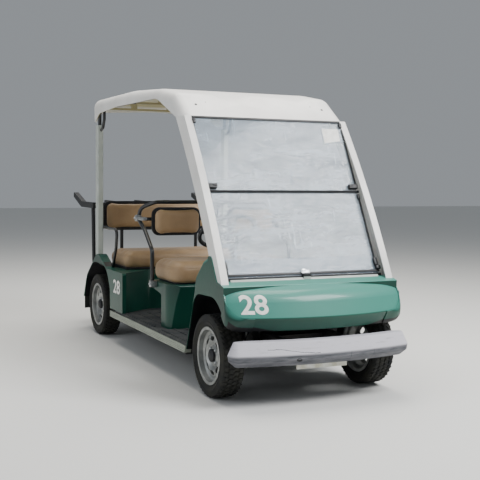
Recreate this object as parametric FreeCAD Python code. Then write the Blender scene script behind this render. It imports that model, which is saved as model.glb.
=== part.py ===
import FreeCAD, Part
import os
from math import sin, cos, tan, radians, acos, pi

from FreeCAD import Vector

# A four-seat golf cart. Millimetres. +X is the cart's left, the front faces -Y, +Z is up,
# and the origin is on the ground below the middle of the cart's box.

# Driving dimensions, overall
WHEELBASE = 2335.0
FRONT_OVERHANG = 455.0
REAR_OVERHANG = 740.0
BODY_WIDTH = 1150.0
ROOF_TOP = 1900.0
FLOOR_TOP = 262.0

# Wheels
TYRE_RADIUS = 244.0
TYRE_WIDTH = 150.0
TYRE_WALL = 11.0
RIM_RADIUS = 170.0
RIM_WIDTH = 126.0
RIM_THICK = 4.0
DISC_RECESS = 30.0
VENT_COUNT = 8
VENT_RADIUS = 12.0
HUB_RADIUS = 36.0
STUB_RADIUS = 13.0
TYRE_PROUD = 2.0
RUN_CLEAR = 0.1
SEAT_GAP = 0.3

# Steering
KINGPIN_SET_IN = 102.0
KINGPIN_RADIUS = 10.0
KNUCKLE_RADIUS = 20.0
KNUCKLE_HEIGHT = 60.0
EAR_THICK = 14.0
EAR_GAP = 1.0
ARM_LENGTH = 130.0
SWING_ROOM = 12.0
TIE_ROD_RADIUS = 8.0
TIE_ROD_Z = 207.0
STEERING_WHEEL_RADIUS = 180.0
STEERING_WHEEL_TUBE = 13.0
STEERING_WHEEL_Z = 940.0
COLUMN_SLOPE = 54.0
DRIVER_X = -270.0
COLUMN_RADIUS = 20.0
SHAFT_RADIUS = 9.0

# Chassis
RAIL_X = 200.0
RAIL_WIDTH = 40.0
RAIL_HEIGHT = 60.0
RAIL_LOW_Z = 205.0
RAIL_FRONT_Z = 330.0
RAIL_HIGH_Z = 365.0
BEAM_RADIUS = 25.0
DAMPER_RADIUS = 26.0
DAMPER_TOP = 318.0
REAR_TUBE_RADIUS = 30.0
SPRING_HALF = 285.0
SPRING_WIDTH = 40.0
SPRING_EYE_Z = 315.0
SPRING_EYE_RADIUS = 11.0
FLOOR_THICK = 16.0
SILL_HEIGHT = 44.0
SILL_WIDTH = 44.0
MAT_RIBS = 14
MAT_RIB_HEIGHT = 5.0

# Bodywork
SKIN = 5.0
DASH_FOOT_Z = 640.0
HOOD_PLAN_RADIUS = 1450.0
BUMPER_PLAN_RADIUS = 1414.0
BUMPER_PROUD = 10.0
BUMPER_SKIN = 6.0
BUMPER_DEPTH = 78.0
BUMPER_BACK = -325.0
PLATE_BOLTS = 210.0
PLATE_HOLE_RADIUS = 3.5
PLATE_BOLT_Z = 270.0
ROOF_EDGE_RADIUS = 66.0
ROOF_WALL = 6.0
ROOF_CORNER = 180.0
PILLAR_WIDTH = 45.0
POST_WIDTH = 46.0
POST_DEPTH = 66.0
POST_WALL = 3.0
POST_DROP = 210.0
PANE_THICK = 5.0
SCREEN_TILT = 61.2
SCREEN_FOOT_Z = 696.0
SCREEN_MID_Z = 1200.0
FRAME_TUBE = 14.0
LOOP_TUBE = 12.0
WING_DEPTH = 32.0
WING_ROUND = 24.0
SEAT_SET_IN = 75.0
SEAT_DECK_Z = 562.0
FRONT_CUSHION_TOP = 716.0
REAR_CUSHION_TOP = 706.0
FENDER_WIDTH = 180.0
BAG_BAYS = 4
BAG_REST_Z = 1020.0
BAG_LIFTS = (80.0, 8.0, 8.0, 8.0, 80.0)

# Places worked out from the driving dimensions
LENGTH = FRONT_OVERHANG + WHEELBASE + REAR_OVERHANG
FRONT_AXLE = -LENGTH / 2 + FRONT_OVERHANG
REAR_AXLE = FRONT_AXLE + WHEELBASE
TAIL = LENGTH / 2
AXLE_Z = TYRE_RADIUS
HALF_BODY = BODY_WIDTH / 2
HALF_TRACK = HALF_BODY + TYRE_PROUD - TYRE_WIDTH / 2
HALF_SEAT = HALF_BODY - SEAT_SET_IN
HALF_BUMPER = HALF_BODY + BUMPER_PROUD
KINGPIN_X = HALF_TRACK - KINGPIN_SET_IN
PILLAR_OUT = HALF_BODY - SKIN - SEAT_GAP
PILLAR_IN = PILLAR_OUT - PILLAR_WIDTH
POST_X = HALF_BODY - 2 - POST_WIDTH / 2
TAIL_HALF = HALF_BODY - FENDER_WIDTH
FLOOR_UNDER = FLOOR_TOP - FLOOR_THICK
RAIL_HALF = RAIL_HEIGHT / 2
LIP_Z = ROOF_TOP - 240.0
LINER_X = HALF_BODY - 279.0
NOSE_Y = -LENGTH / 2

nodes = {}


def front(y):
    """The part's own y of a place this far behind the front axle."""
    return FRONT_AXLE + y


def rear(y):
    """The part's own y of a place this far behind the rear axle."""
    return REAR_AXLE + y


def from_front(table):
    return [(front(y), z, radius) for y, z, radius in table]


def loop(corners, place):
    """Closed wire through corners of (u, v, radius), rounded by tangent arcs."""
    turns = []
    for i, (u, v, radius) in enumerate(corners):
        following = corners[(i + 1) % len(corners)]
        here = Vector(u, v, 0)
        back = Vector(corners[i - 1][0], corners[i - 1][1], 0) - here
        ahead = Vector(following[0], following[1], 0) - here
        back.normalize()
        ahead.normalize()
        if radius <= 0:
            turns.append((here, None, here))
            continue
        half = acos(max(-1.0, min(1.0, back.dot(ahead)))) / 2
        reach = radius / tan(half)
        inward = back + ahead
        inward.normalize()
        centre = here + inward * (radius / sin(half))
        turns.append((here + back * reach, centre - inward * radius, here + ahead * reach))
    edges = []
    for i, (start, middle, end) in enumerate(turns):
        if middle is not None:
            arc = Part.Arc(place(start.x, start.y), place(middle.x, middle.y), place(end.x, end.y))
            edges.append(arc.toShape())
        following = turns[(i + 1) % len(turns)][0]
        if (following - end).Length > 1e-4:
            edges.append(Part.LineSegment(place(end.x, end.y), place(following.x, following.y)).toShape())
    return Part.Wire(edges)


def prism_x(corners, x0, x1):
    """Side outline of (y, z, radius) pushed out across the cart."""
    outline = loop(corners, lambda y, z: Vector(x0, y, z))
    return Part.Face(outline).extrude(Vector(x1 - x0, 0, 0))


def prism_y(corners, y0, y1):
    """Front outline of (x, z, radius) pushed out along the cart."""
    outline = loop(corners, lambda x, z: Vector(x, y0, z))
    return Part.Face(outline).extrude(Vector(0, y1 - y0, 0))


def prism_z(corners, z0, z1):
    """Plan outline of (x, y, radius) pushed up."""
    outline = loop(corners, lambda x, y: Vector(x, y, z0))
    return Part.Face(outline).extrude(Vector(0, 0, z1 - z0))


def box(x0, x1, y0, y1, z0, z1):
    return Part.makeBox(x1 - x0, y1 - y0, z1 - z0, Vector(x0, y0, z0))


def rounded_box(x0, x1, y0, y1, z0, z1, radius):
    """Box with its upright edges rounded."""
    return prism_z([(x0, y0, radius), (x1, y0, radius), (x1, y1, radius), (x0, y1, radius)], z0, z1)


def rod(start, end, radius):
    run = Vector(*end) - Vector(*start)
    return Part.makeCylinder(radius, run.Length, Vector(*start), run)


def bent(points, radius, bend):
    """Round bar along straight runs joined by tangent arcs."""
    points = [Vector(*p) for p in points]
    edges = []
    last = points[0]
    for before, here, after in zip(points, points[1:], points[2:]):
        back = before - here
        ahead = after - here
        back.normalize()
        ahead.normalize()
        half = acos(max(-1.0, min(1.0, back.dot(ahead)))) / 2
        reach = bend / tan(half)
        inward = back + ahead
        inward.normalize()
        centre = here + inward * (bend / sin(half))
        start = here + back * reach
        end = here + ahead * reach
        if (start - last).Length > 1e-3:
            edges.append(Part.LineSegment(last, start).toShape())
        edges.append(Part.Arc(start, centre - inward * bend, end).toShape())
        last = end
    edges.append(Part.LineSegment(last, points[-1]).toShape())
    ring = Part.Wire(Part.makeCircle(radius, points[0], points[1] - points[0]))
    return Part.Wire(edges).makePipeShell([ring], True, True)


def spun(corners, centre):
    """Section of (along the axle, radius, corner) spun about the wheel's axle."""
    outline = loop(corners, lambda a, r: Vector(centre.x + a, centre.y, centre.z + r))
    return Part.Face(outline).revolve(centre, Vector(1, 0, 0), 360)


def spun_flat(corners, y_front, plan_radius, sweep=90):
    """Section of (set back, z, corner) swept round a plan arc whose front is at y_front."""
    pivot = Vector(0, y_front + plan_radius, 0)
    outline = loop(corners, lambda back, z: Vector(0, y_front + back, z))
    face = Part.Face(outline)
    face.rotate(pivot, Vector(0, 0, 1), -sweep / 2)
    return face.revolve(pivot, Vector(0, 0, 1), sweep)


def mirrored(shape):
    return shape.mirror(Vector(0, 0, 0), Vector(1, 0, 0))


def both(shape):
    return [shape, mirrored(shape)]


def fused(pieces):
    whole = pieces[0]
    if len(pieces) > 1:
        whole = whole.multiFuse(pieces[1:])
    return whole.removeSplitter()


def keep(node, shape):
    nodes[node] = shape


def keep_pair(stem, shape):
    """The shape is the cart's left one, and its mirror is the right one."""
    keep(stem + "_left", shape)
    keep(stem + "_right", mirrored(shape))


def keep_both(node, shape):
    """Both sides' pieces in one node, as two solids."""
    keep(node, Part.makeCompound(both(shape)))


# Wheels

def rim(centre):
    """Pressed steel rim: barrel with bead seats and a well, dished disc with oval vents, hub."""
    half = RIM_WIDTH / 2
    seat = RIM_RADIUS - 14
    well = RIM_RADIUS - 32
    inner = RIM_THICK
    barrel = spun([
        # along the axle, radius, corner
        (-half, RIM_RADIUS, 1.5),
        (-half + inner, RIM_RADIUS, 1.5),
        (-half + inner, seat, 2),
        (-half + 24, seat - 3, 4),
        (-half + 32, well, 4),
        (half - 44, well, 4),
        (half - 34, seat - 3, 4),
        (half - inner, seat, 2),
        (half - inner, RIM_RADIUS, 1.5),
        (half, RIM_RADIUS, 1.5),
        (half, seat - inner, 3),
        (half - 32, seat - 3 - inner, 4),
        (half - 42, well - inner, 4),
        (-half + 30, well - inner, 4),
        (-half + 22, seat - 3 - inner, 4),
        (-half, seat - inner, 3),
    ], centre)
    face = half - DISC_RECESS
    edge = well - inner / 2
    disc = spun([
        (face - 12, edge, 0),
        (face - 2, edge - 16, 8),
        (face + 6, edge - 46, 10),
        (face - 12, edge - 72, 10),
        (face - 2, HUB_RADIUS + 6, 5),
        (face - 2, HUB_RADIUS - 4, 0),
        (face - 2 - inner, HUB_RADIUS - 4, 0),
        (face - 2 - inner, HUB_RADIUS + 8, 5),
        (face - 12 - inner, edge - 70, 10),
        (face + 6 - inner, edge - 48, 10),
        (face - 2 - inner, edge - 20, 8),
        (face - 20, edge, 0),
    ], centre)
    bore = STUB_RADIUS + RUN_CLEAR
    hub = spun([
        (face - 66, bore, 0),
        (face - 66, HUB_RADIUS, 2),
        (face + 12, HUB_RADIUS, 3),
        (face + 20, HUB_RADIUS - 12, 4),
        (face + 20, 0, 0),
        (face + 15, 0, 0),
        (face + 15, bore, 0),
    ], centre)
    return fused([barrel, disc]).cut(Part.makeCompound(vents(centre, edge - 34))).fuse(hub).removeSplitter()


def vents(centre, reach):
    """Oval vents round the disc, each two round ends and a straight middle."""
    depth = RIM_WIDTH
    spread = radians(180.0 / VENT_COUNT * 0.36)
    cuts = []
    for i in range(VENT_COUNT):
        middle = 2 * pi * i / VENT_COUNT
        ends = []
        for side in (-spread, spread):
            foot = Vector(0, reach * sin(middle + side), reach * cos(middle + side))
            ends.append(Part.makeCylinder(VENT_RADIUS, depth, centre + foot, Vector(1, 0, 0)))
        half = reach * sin(spread)
        high = reach * cos(spread)
        web = box(0, depth, -half, half, high - VENT_RADIUS, high + VENT_RADIUS)
        web.rotate(Vector(0, 0, 0), Vector(1, 0, 0), -360.0 * i / VENT_COUNT)
        web.translate(centre)
        cuts += [ends[0].fuse(ends[1]).fuse(web)]
    return cuts


def tyre(centre):
    """Hollow carcass with its beads on the rim, bulged walls and a flat tread."""
    half = TYRE_WIDTH / 2
    bead = RIM_RADIUS - 14 + SEAT_GAP
    lip = RIM_WIDTH / 2 - RIM_THICK - SEAT_GAP
    over = RIM_RADIUS + 8
    mid = (RIM_RADIUS + TYRE_RADIUS) / 2
    return spun([
        (-lip, bead, 2),
        (-lip, over, 3),
        (-half, mid, 22),
        (-half + 9, TYRE_RADIUS, 16),
        (half - 9, TYRE_RADIUS, 16),
        (half, mid, 22),
        (lip, over, 3),
        (lip, bead, 2),
        (lip - TYRE_WALL, bead, 2),
        (lip - TYRE_WALL, over + 4, 3),
        (half - TYRE_WALL, mid, 18),
        (half - 12 - TYRE_WALL, TYRE_RADIUS - TYRE_WALL, 8),
        (-half + 12 + TYRE_WALL, TYRE_RADIUS - TYRE_WALL, 8),
        (-half + TYRE_WALL, mid, 18),
        (-lip + TYRE_WALL, over + 4, 3),
        (-lip + TYRE_WALL, bead, 2),
    ], centre)


def make_wheels():
    for end, y in (("front", FRONT_AXLE), ("rear", REAR_AXLE)):
        centre = Vector(HALF_TRACK, y, AXLE_Z)
        keep_pair("rim_" + end, rim(centre))
        keep_pair("tyre_" + end, tyre(centre))


# Front axle and steering

def make_front_axle():
    """Beam with a fork round each kingpin, two trailing rods, and the damper feet."""
    yoke_top = KNUCKLE_HEIGHT / 2 + EAR_GAP
    pieces = [rod((-KINGPIN_X + 46, FRONT_AXLE, AXLE_Z), (KINGPIN_X - 46, FRONT_AXLE, AXLE_Z), BEAM_RADIUS)]
    for side in (1, -1):
        x = side * KINGPIN_X
        inner = x - side * 52
        near = x - side * (KNUCKLE_RADIUS + SWING_ROOM)
        back = box(min(inner, near), max(inner, near), FRONT_AXLE - 15, FRONT_AXLE + 15,
                   AXLE_Z - yoke_top - EAR_THICK, AXLE_Z + yoke_top + EAR_THICK)
        pieces.append(back)
        for low in (AXLE_Z + yoke_top, AXLE_Z - yoke_top - EAR_THICK):
            ear = box(min(near, x), max(near, x), FRONT_AXLE - 15, FRONT_AXLE + 15, low, low + EAR_THICK)
            eye = Part.makeCylinder(20, EAR_THICK, Vector(x, FRONT_AXLE, low))
            pieces += [ear, eye]
    for x in (-150, 150):
        pieces.append(box(x - 30, x + 30, FRONT_AXLE - 30, FRONT_AXLE + 30,
                          AXLE_Z + BEAM_RADIUS - 6, AXLE_Z + BEAM_RADIUS + 6))
        pieces.append(rod((x, front(10), AXLE_Z), (x, front(300), RAIL_LOW_Z), 9))
    bush = RAIL_X - RAIL_WIDTH / 2 - SEAT_GAP
    for side in (1, -1):
        near, far = side * (bush - 46), side * bush
        pieces.append(rod((near, front(300), RAIL_LOW_Z), (far, front(300), RAIL_LOW_Z), 16))
    beam = fused(pieces)
    for x in (-KINGPIN_X, KINGPIN_X):
        pin = Part.makeCylinder(KINGPIN_RADIUS + RUN_CLEAR, 200, Vector(x, FRONT_AXLE, AXLE_Z - 100))
        beam = beam.cut(pin)
    keep("front_axle", beam)


def make_knuckles():
    """Boss on the kingpin, stub for the wheel, and the arm that the tie rod moves."""
    yoke = KNUCKLE_HEIGHT / 2 + EAR_GAP + EAR_THICK
    arm_top = TIE_ROD_Z - TIE_ROD_RADIUS - 3
    arm_low = arm_top - 12
    eye_y = FRONT_AXLE - ARM_LENGTH
    arm = prism_z([
        # x, y, corner
        (KINGPIN_X - 12, FRONT_AXLE - 30, 0),
        (KINGPIN_X - 15, eye_y, 0),
        (KINGPIN_X + 15, eye_y, 0),
        (KINGPIN_X + 12, FRONT_AXLE - 30, 0),
    ], arm_low, arm_top)
    boss = Part.makeCylinder(KNUCKLE_RADIUS, KNUCKLE_HEIGHT,
                             Vector(KINGPIN_X, FRONT_AXLE, AXLE_Z - KNUCKLE_HEIGHT / 2))
    drop = box(KINGPIN_X - 12, KINGPIN_X + 12, FRONT_AXLE - 52, FRONT_AXLE - 30, arm_low, AXLE_Z + 12)
    web = box(KINGPIN_X - 12, KINGPIN_X + 12, FRONT_AXLE - 52, FRONT_AXLE, AXLE_Z - 12, AXLE_Z + 12)
    eye = Part.makeCylinder(16, 12, Vector(KINGPIN_X, eye_y, arm_low))
    pin = Part.makeCylinder(KINGPIN_RADIUS, 2 * yoke, Vector(KINGPIN_X, FRONT_AXLE, AXLE_Z - yoke))
    stub_end = HALF_TRACK + RIM_WIDTH / 2 - DISC_RECESS + 6
    stub = rod((KINGPIN_X, FRONT_AXLE, AXLE_Z), (stub_end, FRONT_AXLE, AXLE_Z), STUB_RADIUS)
    keep_pair("knuckle", fused([boss, web, drop, arm, eye, pin, stub]))


def make_tie_rod():
    """Rack bar with a flat eye over each knuckle's arm."""
    y = FRONT_AXLE - ARM_LENGTH
    bar = rod((-KINGPIN_X + 10, y, TIE_ROD_Z), (KINGPIN_X - 10, y, TIE_ROD_Z), TIE_ROD_RADIUS)
    eyes = [Part.makeCylinder(14, 2 * TIE_ROD_RADIUS, Vector(x, y, TIE_ROD_Z - TIE_ROD_RADIUS))
            for x in (-KINGPIN_X, KINGPIN_X)]
    keep("tie_rod", fused([bar] + eyes))


def column_point(along):
    """Point on the steering column's line, measured up from the rack."""
    return (DRIVER_X, FRONT_AXLE - ARM_LENGTH + along * cos(radians(COLUMN_SLOPE)),
            TIE_ROD_Z + along * sin(radians(COLUMN_SLOPE)))


def make_steering():
    """Rack housing on a bracket, column jacket, and the wheel with its shaft."""
    y = FRONT_AXLE - ARM_LENGTH
    housing = rod((DRIVER_X - 25, y, TIE_ROD_Z), (RAIL_X + 25, y, TIE_ROD_Z), TIE_ROD_RADIUS + 10)
    brackets = [box(x - 12, x + 12, y - 8, y + 8, TIE_ROD_Z + 12, RAIL_FRONT_Z - RAIL_HALF - SEAT_GAP)
                for x in (-RAIL_X, RAIL_X)]
    length = (STEERING_WHEEL_Z - TIE_ROD_Z) / sin(radians(COLUMN_SLOPE))
    pinion = rod(column_point(0), column_point(60), COLUMN_RADIUS + 4)
    jacket = rod(column_point(50), column_point(length - 70), COLUMN_RADIUS)
    gear = fused([housing, pinion, jacket] + brackets)
    gear = gear.cut(rod((-KINGPIN_X, y, TIE_ROD_Z), (KINGPIN_X, y, TIE_ROD_Z), TIE_ROD_RADIUS + RUN_CLEAR))
    gear = gear.cut(rod(column_point(length - 330), column_point(length), SHAFT_RADIUS + RUN_CLEAR))
    keep("steering_column", gear)

    axis = Vector(*column_point(length)) - Vector(*column_point(0))
    axis.normalize()
    centre = Vector(*column_point(length))
    ring = Part.makeTorus(STEERING_WHEEL_RADIUS, STEERING_WHEEL_TUBE, centre, axis)
    hub = Part.makeCylinder(34, 40, centre - axis * 50, axis)
    shaft = Part.makeCylinder(SHAFT_RADIUS, 280, centre - axis * 320, axis)
    across = Vector(1, 0, 0)
    down = axis.cross(across)
    spokes = []
    for turn in (0, 180, 270):
        arm = across * cos(radians(turn)) + down * sin(radians(turn))
        spokes.append(Part.makeCylinder(9, STEERING_WHEEL_RADIUS + 18, centre - axis * 28,
                                        arm * STEERING_WHEEL_RADIUS + axis * 28))
    keep("steering_wheel", fused([ring, hub, shaft] + spokes))


# Chassis

def rail_outline(half):
    """Side outline of a frame rail that steps up over both axles."""
    path = [
        # y, z of the centre line
        (front(-345), RAIL_FRONT_Z),
        (front(10), RAIL_FRONT_Z),
        (front(135), RAIL_LOW_Z),
        (rear(-510), RAIL_LOW_Z),
        (rear(-350), RAIL_HIGH_Z),
        (TAIL - 41 - SEAT_GAP, RAIL_HIGH_Z),
    ]
    return [(y, z + half, 0) for y, z in path] + [(y, z - half, 0) for y, z in reversed(path)]


def cross(half, y, depth, low, high):
    return box(-half, half, y - depth / 2, y + depth / 2, low, high)


def spring_hanger(x, y):
    """Saddle under a rail with a cheek each side of the spring's eye."""
    eye_top = SPRING_EYE_Z + SPRING_EYE_RADIUS + SEAT_GAP
    block = box(x - 28, x + 28, y - 15, y + 15, SPRING_EYE_Z - 14, RAIL_HIGH_Z - RAIL_HALF + 4)
    gap = SPRING_WIDTH / 2 + SEAT_GAP
    return block.cut(box(x - gap, x + gap, y - 40, y + 40, 0, eye_top))


def make_chassis():
    """Two stepped rails, outriggers under the floor, and what carries bumper, springs and body."""
    pieces = []
    for x in (-RAIL_X, RAIL_X):
        pieces.append(prism_x(rail_outline(RAIL_HALF), x - RAIL_WIDTH / 2, x + RAIL_WIDTH / 2))
        pieces += [spring_hanger(x, rear(y)) for y in (-SPRING_HALF, SPRING_HALF)]
        pieces.append(box(x - 20, x + 20, front(-345), front(-305), RAIL_FRONT_Z - 40, RAIL_FRONT_Z))
        for y in (rear(-430), rear(60)):
            foot = RAIL_HIGH_Z if y > REAR_AXLE else (RAIL_LOW_Z + RAIL_HIGH_Z) / 2
            pieces.append(box(x - 15, x + 15, y - 15, y + 15, foot, SEAT_DECK_Z - SKIN - SEAT_GAP))
    low = RAIL_HIGH_Z - RAIL_HALF
    sill_inside = HALF_BODY - SILL_WIDTH + 6 - SEAT_GAP
    for y in (front(440), front(1130), rear(-560)):
        pieces.append(cross(sill_inside, y, 44, RAIL_LOW_Z - RAIL_HALF, FLOOR_UNDER - SEAT_GAP))
    pieces.append(cross(RAIL_X, front(0), 56, DAMPER_TOP, DAMPER_TOP + 20))
    pieces.append(cross(RAIL_X, front(-275), 50, RAIL_FRONT_Z - RAIL_HALF, RAIL_FRONT_Z + 20))
    pieces.append(cross(RAIL_X, rear(355), 50, low, RAIL_HIGH_Z + 20))
    beam_low, beam_high = RAIL_FRONT_Z - 40, RAIL_FRONT_Z + 20
    pieces.append(cross(HALF_BUMPER - 115, front(-325), 40, beam_low, beam_high))
    half_tab = PLATE_BOLTS / 2 + 20
    pieces.append(box(-half_tab, half_tab, front(-345), front(-339), PLATE_BOLT_Z - 22, beam_low + 5))
    room = bumper_room(BUMPER_SKIN + SEAT_GAP).fuse(box(-400, 400, front(-365), front(-300), 250, 400))
    for x in (-330, 330):
        pieces.append(box(x - 30, x + 30, front(-344), front(-335), beam_low, beam_high))
        pieces.append(box(x - 30, x + 30, front(-440), front(-335), beam_low + 5, beam_high - 5).common(room))
    frame = fused(pieces)
    for hole in plate_holes():
        frame = frame.cut(hole)
    keep("chassis_frame", frame)


def plate_holes():
    ends = front(-400), front(-330)
    return [rod((x, ends[0], PLATE_BOLT_Z), (x, ends[1], PLATE_BOLT_Z), PLATE_HOLE_RADIUS)
            for x in (-PLATE_BOLTS / 2, PLATE_BOLTS / 2)]


def make_floor():
    """Floor with ribs in its mat, and a toe board that rises between the wheel arches."""
    half = HALF_BODY - 2
    neck_half = LINER_X - SEAT_GAP
    flat = box(-half, half, front(300), rear(-505), FLOOR_UNDER, FLOOR_TOP)
    neck = box(-neck_half, neck_half, front(130), front(330), FLOOR_UNDER, FLOOR_TOP)
    toe = prism_x([
        (front(130), FLOOR_UNDER, 0),
        (front(-90), FLOOR_UNDER + 216, 0),
        (front(-90), FLOOR_TOP + 222, 0),
        (front(130), FLOOR_TOP, 0),
    ], -neck_half, neck_half)
    floor = fused([flat, neck, toe])
    pitch = (half * 2 - 60) / (MAT_RIBS - 1)
    for i in range(MAT_RIBS):
        x = -half + 30 + i * pitch
        last = rear(-525) if abs(x) < 270 else rear(-710)
        for y0, y1 in ((front(345), front(842)), (front(998), last)):
            floor = floor.fuse(box(x - 8, x + 8, y0, y1, FLOOR_TOP - 1, FLOOR_TOP + MAT_RIB_HEIGHT))
    floor = floor.cut(rod(column_point(120), column_point(320), COLUMN_RADIUS + 6))
    arch = arch_solid(LINER_X - SEAT_GAP, 700, SKIN + SEAT_GAP)
    for side in both(arch):
        floor = floor.cut(side)
    keep("floor", floor.removeSplitter())


def make_sills():
    """Aluminium edge under the floor with three grooves along its side."""
    outer = HALF_BODY + 6
    inner = outer - SILL_WIDTH
    top = FLOOR_UNDER - SEAT_GAP
    sill = box(inner, outer, front(300), rear(-395), top - SILL_HEIGHT, top)
    for i in range(3):
        z = top - SILL_HEIGHT * (i + 1) / 4
        sill = sill.cut(box(outer - 3, outer + 3, front(290), rear(-300), z - 2.5, z + 2.5))
    keep_both("sills", sill.cut(arch_solid(LINER_X, 700, SKIN + SEAT_GAP)))


def make_rear_axle():
    """Axle tubes, differential and brake drums, with a stub for each wheel."""
    tube = rod((-KINGPIN_X, REAR_AXLE, AXLE_Z), (KINGPIN_X, REAR_AXLE, AXLE_Z), REAR_TUBE_RADIUS)
    carrier = spun([
        # along the axle, radius, corner
        (-88, 0, 0),
        (-88, REAR_TUBE_RADIUS + 5, 4),
        (-46, 82, 24),
        (46, 82, 24),
        (88, REAR_TUBE_RADIUS + 5, 4),
        (88, 0, 0),
    ], Vector(0, REAR_AXLE, AXLE_Z))
    pieces = [tube, carrier]
    for side in (1, -1):
        pieces.append(rod((side * (KINGPIN_X - 5), REAR_AXLE, AXLE_Z),
                          (side * (HALF_TRACK - 42), REAR_AXLE, AXLE_Z), 85))
        stub_end = side * (HALF_TRACK + RIM_WIDTH / 2 - DISC_RECESS + 6)
        stub_foot = side * (HALF_TRACK - 43)
        pieces.append(rod((stub_foot, REAR_AXLE, AXLE_Z), (stub_end, REAR_AXLE, AXLE_Z), STUB_RADIUS))
        pieces.append(box(side * RAIL_X - 30, side * RAIL_X + 30, rear(-45), rear(45),
                          AXLE_Z + REAR_TUBE_RADIUS - 8, AXLE_Z + REAR_TUBE_RADIUS + 4))
    keep("rear_axle", fused(pieces))


def make_springs():
    """Rear leaf springs: stacked leaves on an arc, with a rolled eye at each end."""
    leaf = 7.0
    base = AXLE_Z + REAR_TUBE_RADIUS + 4 + SEAT_GAP
    rise = SPRING_EYE_Z - base - 2.5 * leaf
    x = RAIL_X - SPRING_WIDTH / 2
    leaves = []
    for i, share in enumerate((0.45, 0.72, 1.0)):
        reach = SPRING_HALF * share
        up = rise * share ** 2
        low = base + i * leaf
        start = Vector(x, rear(-reach), low + up)
        middle = Vector(x, rear(0), low)
        end = Vector(x, rear(reach), low + up)
        lift = Vector(0, 0, leaf)
        outline = Part.Wire([
            Part.Arc(start, middle, end).toShape(),
            Part.LineSegment(end, end + lift).toShape(),
            Part.Arc(end + lift, middle + lift, start + lift).toShape(),
            Part.LineSegment(start + lift, start).toShape(),
        ])
        leaves.append(Part.Face(outline).extrude(Vector(SPRING_WIDTH, 0, 0)))
    for y in (-SPRING_HALF, SPRING_HALF):
        start = Vector(x, rear(y), SPRING_EYE_Z)
        leaves.append(Part.makeCylinder(SPRING_EYE_RADIUS, SPRING_WIDTH, start, Vector(1, 0, 0)))
    keep_both("rear_springs", fused(leaves))


def make_dampers():
    """Front coil and damper between the beam and the cross member."""
    low = AXLE_Z + BEAM_RADIUS + 6 + SEAT_GAP
    high = DAMPER_TOP - SEAT_GAP
    base = Vector(150, FRONT_AXLE, low)
    tall = high - low
    pieces = [Part.makeCylinder(DAMPER_RADIUS - 8, tall, base)]
    coils = 6
    for i in range(coils):
        z = low + tall * (i + 0.5) / coils
        pieces.append(Part.makeCylinder(DAMPER_RADIUS, tall / coils * 0.5,
                                        Vector(150, FRONT_AXLE, z - tall / coils * 0.25)))
    keep_both("front_dampers", fused(pieces))


def make_motor():
    """The engine as one plain block ahead of the rear axle, hung between the rails."""
    keep("motor", box(-RAIL_X + RAIL_WIDTH / 2 + SEAT_GAP, RAIL_X - RAIL_WIDTH / 2 - SEAT_GAP,
                      rear(-268), rear(-95), AXLE_Z - 50, RAIL_HIGH_Z + 60))


# Front bodywork

ARCH_FRONT = [
    # y from the axle, z, corner
    (337.0, 200.0, 0),
    (265.0, 385.0, 100),
    (198.0, 592.0, 130),
    (-130.0, 600.0, 190),
    (-290.0, 455.0, 150),
    (-700.0, 440.0, 0),
    (-700.0, 200.0, 0),
]

WING_OUTLINE = [
    # y behind the front axle, z, corner
    (-256.0, 428.0, 0),
    (-303.0, 502.0, 14),
    (-245.0, 640.0, 110),
    (-150.0, 676.0, 60),
    (-50.0, 840.0, 40),
    (70.0, 795.0, 60),
    (187.0, 690.0, 70),
    (210.0, 600.0, 60),
    (356.0, 205.0, 0),
]

NOSE = -412.0


def arch_solid(x0, x1, grow=0.0):
    """Open space of a front wheel arch. Grown, it gives the liner its outside."""
    side = [(front(y), z, radius) for y, z, radius in ARCH_FRONT]
    outline = loop(side, lambda y, z: Vector(x0, y, z))
    if grow:
        outline = outline.makeOffset2D(grow)
    return Part.Face(outline).extrude(Vector(x1 - x0, 0, 0))


def cowl_panel(inset):
    """The raised panel across the hood that the screen stands on."""
    half = HALF_BODY - inset
    return prism_x([
        (front(-240 + inset), 600, 0),
        (front(-240 + inset), 672 - inset, 6 - inset),
        (front(-150), 691 - inset, 40),
        (front(-124 + 2 * inset), 693 - inset, 0),
        (front(-124 + 2 * inset), 600, 0),
    ], -half, half)


def hood_form(inset):
    """The hood's outer form with the panel on it, or the same drawn in by a wall."""
    section = [
        # set back, z, corner
        (40.0 + 3.1 * inset, 428.0 - 3 * inset, 0),
        (-7.0 + 1.15 * inset, 502.0, max(14 - inset, 2)),
        (52.0 + inset, 640.0 - inset * 0.6, 110 - inset),
        (225.0, 684.0 - inset, 120 - inset),
        (290.0 + 2 * inset, 690.0 - inset, 0),
        (290.0 + 2 * inset, 428.0 - 3 * inset, 0),
    ]
    swept = spun_flat(section, front(NOSE), HOOD_PLAN_RADIUS)
    half = HALF_BODY - inset
    plan = box(-half, half, front(NOSE) - 50, front(60), 300, 900)
    return swept.common(plan).fuse(cowl_panel(inset))


def corner_cuts():
    """What is taken off below the hood's rounded lower corners, forward of the wheel."""
    edge = HALF_BODY + 1
    low = [
        # x, z, corner
        (HALF_BODY - 135, 380, 0),
        (HALF_BODY - 123, 502, 0),
        (edge, 502, 108),
        (edge, 760, 0),
        (edge + 60, 760, 0),
        (edge + 60, 380, 0),
    ]
    y = front(-290)
    face = Part.Face(loop(low, lambda x, z: Vector(x, y, z)))
    return face.extrude(Vector(0, -200, 0)).fuse(face.extrude(Vector(0, 160, -160)))


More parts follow.
